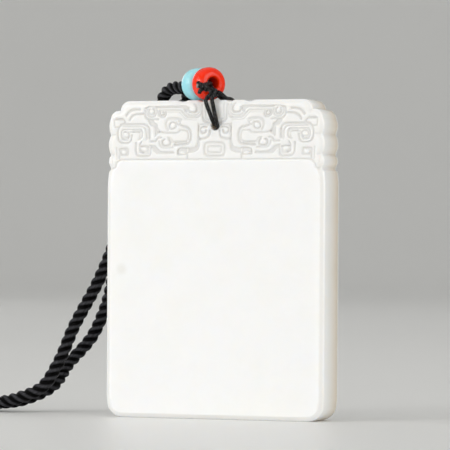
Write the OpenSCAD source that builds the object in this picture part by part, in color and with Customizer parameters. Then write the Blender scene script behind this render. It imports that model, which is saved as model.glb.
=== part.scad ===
// A white jade tablet pendant standing on its lower edge: a plain panel under a carved band of scrolls,
// hung by a thin doubled cord from a red and a turquoise ring bead, with a twisted neck cord.
// Lengths are in millimetres. X runs along the width, Y from front to back, Z up.
// The origin is the middle of the lower edge, on the surface that the tablet stands on.

/* [Tablet] */
// Width of the tablet
tablet_w = 45.6; // [44:0.1:47]
// Height of the tablet
tablet_h = 62; // [60:0.5:66]
// Thickness of the tablet, over the front panel and the back
tablet_t = 8.4; // [7.6:0.1:9.2]
// Radius of the two lower corners
corner_r = 3.5; // [2.5:0.1:5]
// Width of the sloping border around the front panel
border_w = 0.9; // [0.5:0.05:1.4]
// Depth of the sloping border around the front panel
border_d = 0.42; // [0.2:0.02:0.7]
// Width of the eased edge at the back and outside the border
ease = 0.35; // [0.2:0.05:0.6]

/* [Carved band] */
// Height of the carved band, from its lower line to the top of the tablet
band_h = 11.7; // [11.2:0.1:12.4]
// Depth of the ground between the carved scrolls
ground_d = 0.45; // [0.3:0.05:0.7]
// Height of the scrolls above that ground
relief_h = 0.36; // [0.2:0.02:0.44]
// Height of the plain rim along the top edge
rim_h = 0.95; // [0.8:0.05:1.1]
// Diameter of the cord hole
hole_d = 2.0; // [1.9:0.1:2.6]

/* [Beads] */
// Outer diameter of a ring bead
bead_d = 6.5; // [6:0.1:7]
// Length of a ring bead along its hole
bead_l = 3.95; // [3.5:0.05:4.1]
// Diameter of a bead's hole
bead_hole_d = 2.4; // [2.2:0.1:3.0]
// Direction of the beads' hole, in degrees from the width of the tablet
bead_turn = -37; // [-40:1:-34]

/* [Cords] */
// Diameter of the thin cord through the tablet
thin_d = 0.78; // [0.6:0.02:0.8]
// Diameter of the twisted neck cord
neck_d = 2.6; // [2.2:0.05:2.7]
// Diameter of the body of the knot
knot_d = 2.1; // [1.6:0.1:2.2]

/* [Hidden] */
$fn = 48;

// The carving and the thin cord were laid out on a tablet this high and thick, and follow its real size.
chart_h = 62;
chart_t = 8.4;
lift = tablet_h - chart_h;
half_w = tablet_w / 2;
band_z = chart_h - band_h;
rim_z = chart_h - rim_h;
hole_x = 0.35;
hole_z = 57.05 + lift;
clear = 0.05;
far = 40;

// The lobed ends of the band: distance of the lobe's top from the side, its radius and its height.
LOBES = [
    [0.2, 1.69, 50.15],
    [0.14, 3.67, 53.4],
    [0.23, 3.42, 57.0],
];
notch_in = 0.64;
notch_low = 48.8;
shoulder_r = 1.8;
shoulder_x = half_w - 2.35;
shoulder_z = 58.35;
top_r = 1.9;
top_x = half_w - 4.6;

// The straight body ends under the lobes in a round of its own.
body_r = 1.6;
body_top = 47.2;

// Small dips in the top edge: distance from the middle, radius, height of the centre over the edge.
DIPS = [
    [7.0, 2.3, 2.0],
    [2.9, 1.3, 1.0],
];

// Scrolls of one half of the band: centre x, centre z, outer radius, width of the ring, radius of the pip.
SCROLLS = [
    [13.3, 59.85, 1.30, 0.42, 0.40],
    [11.0, 59.40, 0.68, 0.24, 0.22],
    [8.75, 57.05, 1.45, 0.50, 0.45],
    [2.40, 56.25, 0.90, 0.32, 0.32],
    [10.25, 53.80, 1.00, 0.34, 0.38],
    [18.85, 55.20, 1.15, 0.38, 0.45],
    [14.85, 52.50, 0.90, 0.30, 0.40],
    [19.00, 51.80, 0.82, 0.28, 0.34],
    [6.70, 51.70, 0.85, 0.28, 0.34],
    [4.65, 60.25, 1.05, 0.30, 0.55],
];

// Raised bands of one half: width, then the points of the middle line.
BANDS = [
    [0.42, [[12.0, 60.3], [7.1, 60.3], [6.1, 59.3], [5.6, 59.0], [3.8, 59.0], [3.1, 59.4], [3.0, 60.9]]],
    [0.42, [[2.2, 61.4], [2.2, 59.0], [1.9, 58.2]]],
    [1.00, [[11.7, 56.7], [11.0, 58.2], [9.3, 59.15], [7.6, 59.05], [6.2, 57.9], [4.5, 57.5], [4.25, 54.2]]],
    [0.45, [[7.1, 56.5], [5.7, 56.4], [5.3, 55.9], [5.3, 54.2], [5.8, 53.6], [8.6, 53.6]]],
    [0.45, [[13.1, 53.7], [12.2, 53.6], [11.4, 52.7], [10.6, 52.5], [8.6, 52.5], [7.8, 52.9], [5.4, 53.0]]],
    [0.45, [[19.6, 57.1], [14.9, 57.1], [14.1, 56.4], [14.1, 54.9]]],
    [0.36, [[20.1, 54.9], [20.1, 56.1], [19.5, 56.6], [15.2, 56.5], [14.8, 56.0], [14.8, 54.6]]],
    [0.36, [[14.9, 54.5], [15.8, 54.0], [16.3, 53.2], [16.3, 52.0], [15.6, 51.4], [14.2, 51.4]]],
    [0.80, [[13.1, 56.7], [13.1, 55.0]]],
    [0.36, [[18.7, 58.9], [18.0, 59.6], [17.2, 59.9], [15.9, 59.9]]],
];

// Raised plain fields of one half, each an outline.
FIELDS = [
    [[15.1, 57.6], [17.7, 57.6], [17.4, 58.6], [16.8, 59.1], [15.9, 59.25], [15.1, 59.2]],
    [[19.3, 58.1], [20.7, 58.1], [20.7, 56.8], [20.2, 56.8], [19.8, 57.3]],
    [[5.9, 54.2], [8.8, 54.2], [8.6, 55.2], [7.6, 55.3], [7.1, 55.9], [5.9, 55.9]],
];

// Raised plain field in the middle, from the foot of the cartouche to the tongue over it, one half.
MIDDLE = [[0, 50.6], [5.4, 50.6], [5.4, 51.3], [4.0, 51.5], [3.3, 52.2], [3.0, 54.3], [1.6, 54.6], [0, 55.2]];
TONGUE = [[0, 58.7], [1.6, 58.7], [1.7, 61.2], [0, 61.2]];

// Where the ground ends towards the sides, one half, from the middle round to the top rim.
GROUND = [
    [0, band_z], [19.5, band_z], [20.2, 49.9], [20.6, 49.3], [21.0, 48.8], [23.5, 48.65], [23.5, 49.25],
    [21.3, 49.4], [21.1, 50.3], [21.3, 51.4], [21.1, 53.3], [21.3, 55.3], [21.2, 57.4], [21.3, 58.6],
    [20.6, 59.3], [19.6, 59.9], [18.8, 60.5], [17.4, rim_z], [0, rim_z],
];

// Cartouche in the middle of the band: half width and height of its outer frame, width of its frame.
cartouche = [2.1, 2.4, 0.3];
cartouche_z = 52.4;

// The beads lie on the top edge. Their common hole points along this unit vector to the front.
bead_axis = [cos(bead_turn), sin(bead_turn), 0];
bead_z = tablet_h + bead_d / 2 + clear;
red_at = [-2.5, -1.2, bead_z];
turquoise_at = red_at - (bead_l + 2 * clear) * bead_axis;
bead_round = 0.85;

// Two threads run side by side through both beads, from the knot to the ends of the neck cord.
thread_apart = 0.84;
thread_from = 0.35;
thread_to = -2 * bead_l - 2 * clear;

// The knot stands before the lower left part of the red bead's hole, and its two cut tails point to the left,
// out of a smaller second knot.
knot_at = [-0.6, -3.8, 63.45 + lift];
small_knot_at = [-1.95, -5.4, 64.5 + lift];
small_knot_share = 0.65;
tail_d = 0.85;
TAIL_ENDS = [
    [-2.85, -5.2, 64.8 + lift],
    [-2.6, -5.22, 63.35 + lift],
];

// The two turns of the thin cord, from the knot down the front, through the hole and back over the top edge.
LOOP_LEFT = [
    [-1.15, -4.5, 62.6], [-1.55, -4.9, 61.9], [-1.35, -5.0, 61.1], [-1.0, -4.9, 60.1], [-0.62, -4.8, 59.1],
    [-0.28, -4.65, 58.1], [-0.06, -4.5, 57.3], [-0.06, -4.1, 56.85], [-0.06, -3.2, 56.75], [-0.06, 0.0, 57.0],
    [-0.06, 3.2, 57.25], [-0.04, 4.35, 57.4], [0.0, 4.95, 58.6], [0.02, 5.0, 60.0], [0.02, 4.95, 61.3],
    [0.0, 4.3, 62.4], [0.0, 2.9, 62.48], [0.05, 1.0, 62.45], [0.22, -0.8, 62.45], [0.08, -1.9, 62.75],
    [-0.1, -2.75, 63.15],
];
LOOP_RIGHT = [
    [-0.3, -4.75, 62.6], [-0.2, -5.0, 61.9], [0.0, -5.0, 61.0], [0.2, -4.95, 60.0], [0.42, -4.9, 59.0],
    [0.64, -4.8, 58.0], [0.78, -4.65, 57.2], [0.76, -4.1, 56.82], [0.76, -3.2, 56.78], [0.76, 0.0, 57.05],
    [0.76, 3.2, 57.25], [0.78, 4.35, 57.4], [0.85, 4.95, 58.6], [0.88, 5.0, 60.0], [0.88, 4.95, 61.3],
    [0.86, 4.3, 62.4], [0.86, 2.9, 62.48], [0.9, 1.0, 62.46], [1.06, -0.8, 62.55], [0.9, -2.2, 63.0],
    [0.68, -3.1, 63.4],
];

// The neck cord, one whole loop: down behind the tablet, out to the left, one fold on the surface and back.
// Both of its ends stop side by side at the back of the turquoise bead.
NECK = [
    [-8.34, 1.33, 64.6], [-10.1, 2.55, 64.8], [-11.85, 3.75, 64.85], [-13.5, 4.85, 64.45], [-14.85, 5.8, 63.4],
    [-15.75, 6.35, 61.8], [-16.75, 6.55, 59.0], [-22.5, 7.2, 43.6], [-29.3, 6.6, 26.5], [-34.3, 5.8, 17.2],
    [-37.2, 4.8, 10.0], [-40.2, 3.8, 5.2], [-45.0, 3.5, 3.0], [-52.0, 4.2, 1.6], [-62.0, 8.4, 1.36],
    [-78.0, 13.75, 1.3], [-95.0, 15.2, 1.3], [-117.7, 15.4, 1.3], [-122.2, 15.4, 1.3], [-126.37, 13.67, 1.3],
    [-128.1, 9.5, 1.3], [-126.37, 5.33, 1.3], [-122.2, 3.6, 1.3], [-117.7, 3.6, 1.3], [-68.0, 5.3, 1.3],
    [-63.4, 5.3, 1.3], [-59.23, 3.57, 1.3], [-57.5, -0.6, 1.3], [-59.23, -4.77, 1.3], [-63.4, -6.5, 1.3],
    [-68.0, -6.5, 1.3], [-115.5, 0.4, 1.3], [-122.4, 0.5, 1.3], [-128.76, 3.14, 1.3], [-131.4, 9.5, 1.3],
    [-128.76, 15.86, 1.3], [-122.4, 18.5, 1.3], [-115.5, 18.5, 1.3], [-95.0, 18.4, 1.3], [-78.0, 16.9, 1.3],
    [-62.0, 11.8, 1.36], [-52.0, 7.6, 1.6], [-45.0, 7.0, 2.7], [-40.9, 9.4, 4.9], [-39.2, 14.7, 9.8],
    [-35.4, 17.4, 15.2], [-32.8, 17.6, 20.6], [-28.6, 15.2, 33.0], [-12.95, 8.15, 58.95], [-11.0, 7.3, 62.1],
    [-10.1, 6.6, 63.35], [-8.9, 5.65, 64.2], [-6.9, 3.99, 64.55],
];
neck_pitch = 6.8;

// Direction of a smooth curve at point i, leaning to the nearer of its neighbours.
function unit(v) = v / norm(v);
function gap(points, i) = norm(points[i + 1] - points[i]);
function lean(points, i) =
    i == 0 ? unit(points[1] - points[0]) :
    i == len(points) - 1 ? unit(points[i] - points[i - 1]) :
    let (a = gap(points, i - 1), b = gap(points, i))
    unit((points[i] - points[i - 1]) * b / a + (points[i + 1] - points[i]) * a / b);

// Point at the share s, from 0 to 1, of the stretch from point i to the next.
function on_curve(points, i, s) =
    let (d = gap(points, i), t = s * s * (3 - 2 * s))
    (1 - t) * points[i] + t * points[i + 1]
    + d * s * (1 - s) * ((1 - s) * lean(points, i) - s * lean(points, i + 1));

// The curve through the points, with a ring at each point and about every pitch between them.
function refined(points, pitch) = [
    for (i = [0 : len(points) - 2])
        let (steps = max(1, round(gap(points, i) / pitch)))
        for (k = [0 : steps - 1]) on_curve(points, i, k / steps),
    points[len(points) - 1],
];

// The same points on a thinner or thicker tablet, and with their upper ends moved to its top edge.
function spread(points) = [for (p = points) [p[0], p[1] * tablet_t / chart_t, p[2]]];
function raised(points) = [for (p = points) [p[0], p[1], p[2] * (1 + lift / chart_h)]];

function along(points, i) = unit(points[min(len(points) - 1, i + 1)] - points[max(0, i - 1)]);

// A direction across the run that turns as little as possible from one ring to the next.
function across(t, last) = unit(last - (last * t) * t);
function frames(points, last, i = 0) =
    i >= len(points) ? [] : let (n = across(along(points, i), last)) concat([n], frames(points, n, i + 1));

// One closed tube of that diameter through the points.
module tube(points, d, start, sides = 8) {
    count = len(points);
    side = frames(points, start);
    ring = [
        for (i = [0 : count - 1])
            let (t = along(points, i), n = side[i], b = cross(t, n))
            for (k = [0 : sides - 1])
                points[i] + d / 2 * (cos(360 * (k + 0.5) / sides) * n + sin(360 * (k + 0.5) / sides) * b),
    ];
    walls = [
        for (i = [0 : count - 2], k = [0 : sides - 1])
            let (a = i * sides + k, b = i * sides + (k + 1) % sides)
            [a, a + sides, b + sides, b],
    ];
    first = [for (k = [0 : sides - 1]) k];
    last = [for (k = [sides - 1 : -1 : 0]) (count - 1) * sides + k];
    polyhedron(points = ring, faces = concat(walls, [first, last]));
}

// Stands a flat shape of width and height upright, from depth y0 to y1.
module upright(y0, y1) {
    translate([0, y1, 0]) rotate([90, 0, 0]) linear_extrude(y1 - y0) children();
}

module both_halves() {
    children();
    mirror([1, 0, 0]) children();
}

module block(x, z0, z1) {
    translate([0, z0]) square([x, z1 - z0]);
}

// One half of the tablet's outline: a straight body, then the lobed ends and stepped shoulders.
module half_outline() {
    block(half_w - corner_r, 0, corner_r + 1);
    translate([half_w - corner_r, corner_r]) circle(corner_r);
    block(half_w, corner_r, body_top + lift);
    translate([half_w - body_r, body_top + lift]) circle(body_r);
    block(half_w - notch_in, body_top + lift - 1, shoulder_z + lift);
    for (lobe = LOBES) translate([half_w - lobe[0] - lobe[1], lobe[2] + lift]) circle(lobe[1]);
    translate([shoulder_x, shoulder_z + lift]) circle(shoulder_r);
    block(shoulder_x, notch_low + lift, shoulder_z + shoulder_r + lift);
    block(top_x + top_r, notch_low + lift, tablet_h - top_r);
    block(top_x, notch_low + lift, tablet_h);
    translate([top_x, tablet_h - top_r]) circle(top_r);
}

module outline() {
    difference() {
        both_halves() half_outline();
        for (dip = DIPS, s = [-1, 1]) translate([s * dip[0], tablet_h + dip[2]]) circle(dip[1]);
    }
}

// Planes that slope back towards an edge: along the sides, the lower corners, the lower edge and the top.
module slope(x, z, r, turn, wide, deep, face) {
    translate([x, 0, z]) rotate([0, -turn, 0]) translate([r, face * (tablet_t / 2 - deep), 0])
        rotate([0, 0, -face * atan2(deep, wide)])
            translate([-far, face > 0 ? 0 : -far, -2 * far]) cube([2 * far, far, 4 * far]);
}

module slopes(wide, deep, face) {
    for (s = [-1, 1], turn = [-90 : 22.5 : 0])
        slope(s * (half_w - corner_r), corner_r, corner_r, s > 0 ? turn : 180 - turn, wide, deep, face);
    for (turn = [60, 90, 120])
        slope(turn == 90 ? 0 : sign(90 - turn) * top_x, tablet_h - top_r, top_r, turn, wide, deep, face);
}

module scroll(s) {
    translate([s[0], s[1]]) {
        difference() {
            circle(s[2]);
            circle(s[2] - s[3]);
        }
        circle(s[4]);
    }
}

// Normal of the stretch before and after a point, and the corner of a band's edge at that point.
function normal(points, i) =
    let (k = max(0, min(len(points) - 2, i)), d = points[k + 1] - points[k]) [-d[1], d[0]] / norm(d);
function corner(points, i, away) =
    let (n = normal(points, i - 1), m = normal(points, i)) points[i] + away * (n + m) / (1 + n * m);

module band(wide, points) {
    last = len(points) - 1;
    polygon([
        for (i = [0 : last]) corner(points, i, wide / 2),
        for (i = [last : -1 : 0]) corner(points, i, -wide / 2),
    ]);
}

module cartouche_groove() {
    for (k = [0, 1])
        let (x = cartouche[0] - k * 0.85, z = cartouche[1] - k * 1.4) difference() {
            translate([0, cartouche_z]) square([2 * x, z], center = true);
            translate([0, cartouche_z]) square([2 * x - cartouche[2], z - cartouche[2]], center = true);
        }
}

// A flat shape with both of its halves, from the outline of the right one.
module whole(half) {
    polygon(concat(half, [for (i = [len(half) - 1 : -1 : 0]) [-half[i][0], half[i][1]]]));
}

module carving() {
    both_halves() {
        for (s = SCROLLS) scroll(s);
        for (b = BANDS) band(b[0], b[1]);
        for (f = FIELDS) polygon(f);
    }
    whole(TONGUE);
    difference() {
        whole(MIDDLE);
        cartouche_groove();
    }
}

module plaque() {
    front = -tablet_t / 2;
    color("whitesmoke") difference() {
        union() {
            difference() {
                upright(front, tablet_t / 2) outline();
                slopes(border_w, border_d, -1);
                slopes(ease, border_d + ease, -1);
                slopes(ease, ease, 1);
                upright(front - 1, front + ground_d) translate([0, lift]) whole(GROUND);
            }
            upright(front + ground_d - relief_h, front + ground_d + 0.2) translate([0, lift]) carving();
        }
        translate([hole_x, 0, hole_z]) rotate([90, 0, 0])
            cylinder(d = hole_d, h = 2 * tablet_t, center = true);
    }
}

// A ring bead: a round-edged ring turned about its hole.
module ring_bead() {
    wall = (bead_d - bead_hole_d) / 2;
    rotate([0, 0, bead_turn]) rotate([0, 90, 0]) rotate_extrude()
        translate([bead_hole_d / 2, -bead_l / 2]) {
            translate([bead_round, 0]) square([wall - 2 * bead_round, bead_l]);
            translate([0, bead_round]) square([wall, bead_l - 2 * bead_round]);
            for (x = [bead_round, wall - bead_round], z = [bead_round, bead_l - bead_round])
                translate([x, z]) circle(bead_round);
        }
}

module red_bead() {
    color("orangered") translate(red_at) ring_bead();
}

module turquoise_bead() {
    color("mediumturquoise") translate(turquoise_at) ring_bead();
}

// A straight round piece from point a to point b.
module bar(a, b, d) {
    v = b - a;
    translate(a) rotate([0, acos(v[2] / norm(v)), atan2(v[1], v[0])]) cylinder(d = d, h = norm(v));
}

module knot() {
    color("black") {
        translate(knot_at) sphere(d = knot_d);
        translate(small_knot_at) sphere(d = small_knot_share * knot_d);
        for (end = TAIL_ENDS) bar(knot_at, end, tail_d);
    }
}

module pendant_loop() {
    color("dimgray") translate([0, 0, lift]) {
        tube(spread(LOOP_LEFT), thin_d, [1, 0, 0]);
        tube(spread(LOOP_RIGHT), thin_d, [1, 0, 0]);
    }
    color("dimgray") translate(red_at + bead_l / 2 * bead_axis) rotate([0, 0, bead_turn])
        for (s = [-1, 1]) translate([thread_to, s * thread_apart / 2, 0]) rotate([0, 90, 0])
            cylinder(d = thin_d, h = thread_from - thread_to);
}

module neck_cord() {
    color("dimgray") tube(refined(raised(NECK), neck_pitch), neck_d, [0, 0, 1]);
}

plaque();
red_bead();
turquoise_bead();
knot();
pendant_loop();
neck_cord();
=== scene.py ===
"""The looks of a white jade tablet pendant with its thin cord loop, two ring beads and neck cord."""
import logging
import math
from abc import ABC, abstractmethod
from dataclasses import dataclass, field
from enum import Enum

import bpy
import numpy as np
from mathutils import Matrix


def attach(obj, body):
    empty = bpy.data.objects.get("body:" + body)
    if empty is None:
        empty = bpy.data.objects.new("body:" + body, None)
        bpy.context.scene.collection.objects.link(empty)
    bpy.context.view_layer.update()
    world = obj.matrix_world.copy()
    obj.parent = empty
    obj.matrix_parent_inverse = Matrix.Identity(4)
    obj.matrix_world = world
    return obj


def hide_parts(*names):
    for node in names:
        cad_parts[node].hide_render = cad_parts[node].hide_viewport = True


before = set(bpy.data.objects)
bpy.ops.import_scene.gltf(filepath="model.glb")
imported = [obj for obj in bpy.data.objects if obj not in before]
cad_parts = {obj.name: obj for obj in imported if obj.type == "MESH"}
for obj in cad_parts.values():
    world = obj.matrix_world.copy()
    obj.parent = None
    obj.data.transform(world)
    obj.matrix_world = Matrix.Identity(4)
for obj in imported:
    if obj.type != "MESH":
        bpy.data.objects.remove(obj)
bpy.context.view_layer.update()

MM = 0.001
BODY = "root"
TINY = 1e-9
# Distance in millimetres that stands for any that is not worth measuring.
FAR = 9.0
# How many points take the place of a rounded corner.
CORNER_POINTS = 6
# Distance in millimetres between the points of a cord's curve before they are spread evenly.
COARSE_STEP = 0.4
# The tablet's back keeps each so many-th row and column of the front.
COARSE = 4
log = logging.getLogger("jade_pendant")

Pair = tuple[float, float]
Point = tuple[float, float, float]
Line = list[Pair]
Route = list[Point]
Socket = bpy.types.NodeSocket
Skin = tuple[np.ndarray, list[np.ndarray], np.ndarray, np.ndarray]


def linear(hex_colour: str) -> tuple[float, float, float, float]:
    """Turns an sRGB hex colour into the linear colour that a shader takes.

    Args:
        hex_colour: a colour such as "#F4F3EF".

    Returns:
        Linear red, green and blue, and an alpha of one.
    """
    shares = [int(hex_colour[i:i + 2], 16) / 255 for i in (1, 3, 5)]
    red, green, blue = (s / 12.92 if s <= 0.04045 else ((s + 0.055) / 1.055) ** 2.4 for s in shares)
    return red, green, blue, 1.0


def add(tree: bpy.types.NodeTree, kind: str, feeds: dict | None = None,
        **settings: object) -> bpy.types.Node:
    """Adds one node with its settings and links.

    Args:
        tree: the node tree of a material or of the world.
        kind: the node's type.
        feeds: what each input gets, by its name or number: a value, or another node's output.
        settings: properties of the node itself.

    Returns:
        The new node.
    """
    node = tree.nodes.new(kind)
    for name, value in settings.items():
        setattr(node, name, value)
    for name, value in (feeds or {}).items():
        if isinstance(value, Socket):
            tree.links.new(value, node.inputs[name])
        else:
            node.inputs[name].default_value = value
    return node


def smooth_step(share: np.ndarray) -> np.ndarray:
    """Soft step from 0 to 1: three squares less two cubes of the share, held between 0 and 1."""
    share = np.clip(share, 0.0, 1.0)
    return share * share * (3.0 - 2.0 * share)


def rounded(points: Line, radius: float, closed: bool = False) -> np.ndarray:
    """Rounds the corners of a line.

    Each corner is replaced by a parabola that starts and ends at most that radius away from the corner,
    or half way along a shorter side.

    Args:
        points: the line's corners.
        radius: how far from a corner its rounding starts, in millimetres.
        closed: whether the last point joins the first.

    Returns:
        The points of the rounded line, the first again at the end where it is closed.
    """
    p = np.asarray(points, float)
    ahead = np.roll(p, -1, axis=0) - p
    length = np.maximum(np.linalg.norm(ahead, axis=1), TINY)
    part = ahead * (np.minimum(radius, length / 2) / length)[:, None]
    leave = p + part
    reach = p - np.roll(part, 1, axis=0)
    share = np.linspace(0.0, 1.0, CORNER_POINTS)[None, :, None]
    rest = 1 - share
    arcs = rest ** 2 * reach[:, None] + 2 * share * rest * p[:, None] + share ** 2 * leave[:, None]
    if closed:
        line = arcs.reshape(-1, 2)
        return np.concatenate([line, line[:1]])
    return np.concatenate([p[:1], arcs[1:-1].reshape(-1, 2), p[-1:]])


def line_distance(x: np.ndarray, z: np.ndarray, line: np.ndarray, reach: float = 0.6) -> np.ndarray:
    """Distance of points to a line, measured stretch by stretch as to a straight piece with round ends.

    Args:
        x: widths of the points.
        z: heights of the points.
        line: the line's points.
        reach: distance past which a point counts as far away.

    Returns:
        The distances, and a fixed long one for a point that is farther away than the reach.
    """
    best = np.full(x.shape, FAR)
    low = np.minimum(line[:-1], line[1:]) - reach
    high = np.maximum(line[:-1], line[1:]) + reach
    for start, end, least, most in zip(line[:-1], line[1:], low, high):
        near = (x >= least[0]) & (x <= most[0]) & (z >= least[1]) & (z <= most[1])
        u, w = x[near] - start[0], z[near] - start[1]
        run = end - start
        along = np.clip((u * run[0] + w * run[1]) / max(run @ run, TINY), 0.0, 1.0)
        best[near] = np.minimum(best[near], np.hypot(u - along * run[0], w - along * run[1]))
    return best


def within(x: np.ndarray, z: np.ndarray, outline: np.ndarray) -> np.ndarray:
    """Tells which points lie inside a closed outline, by counting its crossings to one side of each.

    Args:
        x: widths of the points.
        z: heights of the points.
        outline: the outline's points, the first again at the end.

    Returns:
        True for each point inside.
    """
    odd = np.zeros(x.shape, bool)
    for (x0, z0), (x1, z1) in zip(outline[:-1], outline[1:]):
        if z0 == z1:
            continue
        crosses = (z0 > z) != (z1 > z)
        odd ^= crosses & (x < (x1 - x0) * (z - z0) / (z1 - z0) + x0)
    return odd


def curve_through(points: Route, step: float) -> np.ndarray:
    """Smooth curve through points in space.

    At each point the direction leans to its nearer neighbour. Between two points the place is the soft
    step from one to the other, and the two directions bend it, each by the share squared that is left
    to the other end.

    Args:
        points: what the curve passes through.
        step: the wanted distance between its rings.

    Returns:
        The curve's points, about that far apart.
    """
    p = np.asarray(points, float)
    chord = np.diff(p, axis=0)
    length = np.linalg.norm(chord, axis=1)
    before, after = length[:-1, None], length[1:, None]
    lean = np.empty_like(p)
    lean[0], lean[-1] = chord[0], chord[-1]
    lean[1:-1] = chord[:-1] * after / before + chord[1:] * before / after
    lean /= np.linalg.norm(lean, axis=1)[:, None]
    parts = []
    for i, d in enumerate(length):
        share = np.linspace(0.0, 1.0, max(2, round(d / step)), endpoint=False)[:, None]
        blend = smooth_step(share)
        bend = d * share * (1 - share) * ((1 - share) * lean[i] - share * lean[i + 1])
        parts.append((1 - blend) * p[i] + blend * p[i + 1] + bend)
    return np.concatenate([*parts, p[-1:]])


def run_length(path: np.ndarray) -> np.ndarray:
    """Length along a path up to each of its points."""
    return np.concatenate([[0.0], np.cumsum(np.linalg.norm(np.diff(path, axis=0), axis=1))])


def read_along(path: np.ndarray, length: np.ndarray, places: np.ndarray) -> np.ndarray:
    """Reads the points of a path at places on its length, linearly between its own points."""
    return np.stack([np.interp(places, length, values) for values in path.T], axis=1)


def even(path: np.ndarray, step: float) -> np.ndarray:
    """The same path with its points evenly apart.

    Args:
        path: the path's points.
        step: the wanted distance between them.

    Returns:
        The new points, about that far apart.
    """
    length = run_length(path)
    count = max(2, round(length[-1] / step)) + 1
    return read_along(path, length, np.linspace(0.0, length[-1], count))


def untwisted_frames(path: np.ndarray, start: Point) -> tuple[np.ndarray, np.ndarray]:
    """Two directions across a path that don't turn about it.

    A fixed direction is laid across every ring. What it turns from one ring to the next is the angle
    between the two after the first is laid across the second's run, and the sum of these angles is
    taken off again.

    Args:
        path: the points of the middle line.
        start: the fixed direction, never along the path.

    Returns:
        The two unit directions at every point, at right angles to the path and to each other.
    """
    tangent = np.gradient(path, axis=0)
    tangent /= np.linalg.norm(tangent, axis=1)[:, None]
    fixed = np.asarray(start, float)[None] - (tangent @ np.asarray(start, float))[:, None] * tangent
    fixed /= np.linalg.norm(fixed, axis=1)[:, None]
    side = np.cross(tangent, fixed)
    carried = fixed[:-1] - np.sum(fixed[:-1] * tangent[1:], axis=1)[:, None] * tangent[1:]
    turn = np.arctan2(np.sum(carried * side[1:], axis=1), np.sum(carried * fixed[1:], axis=1))
    angle = np.concatenate([[0.0], np.cumsum(turn)])[:, None]
    return np.cos(angle) * fixed + np.sin(angle) * side, np.cos(angle) * side - np.sin(angle) * fixed


def grid_quads(rows: int, columns: int, ring: bool) -> np.ndarray:
    """Corner numbers of the faces between neighbouring rows of points.

    Args:
        rows: how many rows of points there are.
        columns: how many points a row has.
        ring: whether each row closes on itself.

    Returns:
        Four numbers a face, turned so that a tube of rows laid along its path faces outwards.
    """
    low = np.arange(rows - 1)[:, None] * columns
    high = low + columns
    here = np.arange(columns if ring else columns - 1)[None]
    after = (here + 1) % columns
    return np.stack([low + here, low + after, high + after, high + here], -1).reshape(-1, 4)


def make_piece(name: str, points: np.ndarray, faces: list[np.ndarray], uv: np.ndarray | None = None,
               values: dict[str, np.ndarray] | None = None) -> bpy.types.Object:
    """Puts a surface into a mesh object that sits at the origin.

    Args:
        name: the piece's name.
        points: its points in millimetres.
        faces: arrays of corner numbers, one for each number of corners.
        uv: a pair of numbers for every corner of every face, in the order of the faces.
        values: further numbers to keep at the points, by name.

    Returns:
        The shown object, in metres, with smooth faces.
    """
    mesh = bpy.data.meshes.new(name)
    mesh.from_pydata((points * MM).tolist(), [], [face for block in faces for face in block.tolist()])
    mesh.polygons.foreach_set("use_smooth", np.ones(len(mesh.polygons), bool))
    if uv is not None:
        mesh.uv_layers.new(name="wound").data.foreach_set("uv", uv.astype(np.float32).ravel())
    for key, numbers in (values or {}).items():
        stored = mesh.attributes.new(key, "FLOAT", "POINT")
        stored.data.foreach_set("value", numbers.astype(np.float32).ravel())
    mesh.update()
    piece = bpy.data.objects.new(name, mesh)
    bpy.context.scene.collection.objects.link(piece)
    return piece


def dress(piece: bpy.types.Object, material: bpy.types.Material) -> None:
    """Gives a piece its finish and that finish's slot, and lets it move with the pendant.

    Args:
        piece: the piece.
        material: its finish.
    """
    piece.data.materials.clear()
    piece.data.materials.append(material)
    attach(piece, BODY)
    log.info("%s: %d faces, %s", piece.name, len(piece.data.polygons), material.name)


class Lay(Enum):
    """Which way a cord's strands climb round it, as a sign for the turn along its length."""

    RIGHT = 1
    LEFT = -1


class Stone(Enum):
    """The two bead stones: main colour, colour of the clouds, depth of the clouds, roughness."""

    CORAL = ("#F82E00", "#E82400", 0.4, 0.1)
    TURQUOISE = ("#A2E4EE", "#BEF0F6", 0.5, 0.12)


def empty_material(name: str) -> tuple[bpy.types.Material, bpy.types.NodeTree]:
    """Makes a material without nodes.

    Args:
        name: the material's name.

    Returns:
        The material and its tree.
    """
    material = bpy.data.materials.new(name)
    material.use_nodes = True
    material.node_tree.nodes.clear()
    return material, material.node_tree


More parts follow.
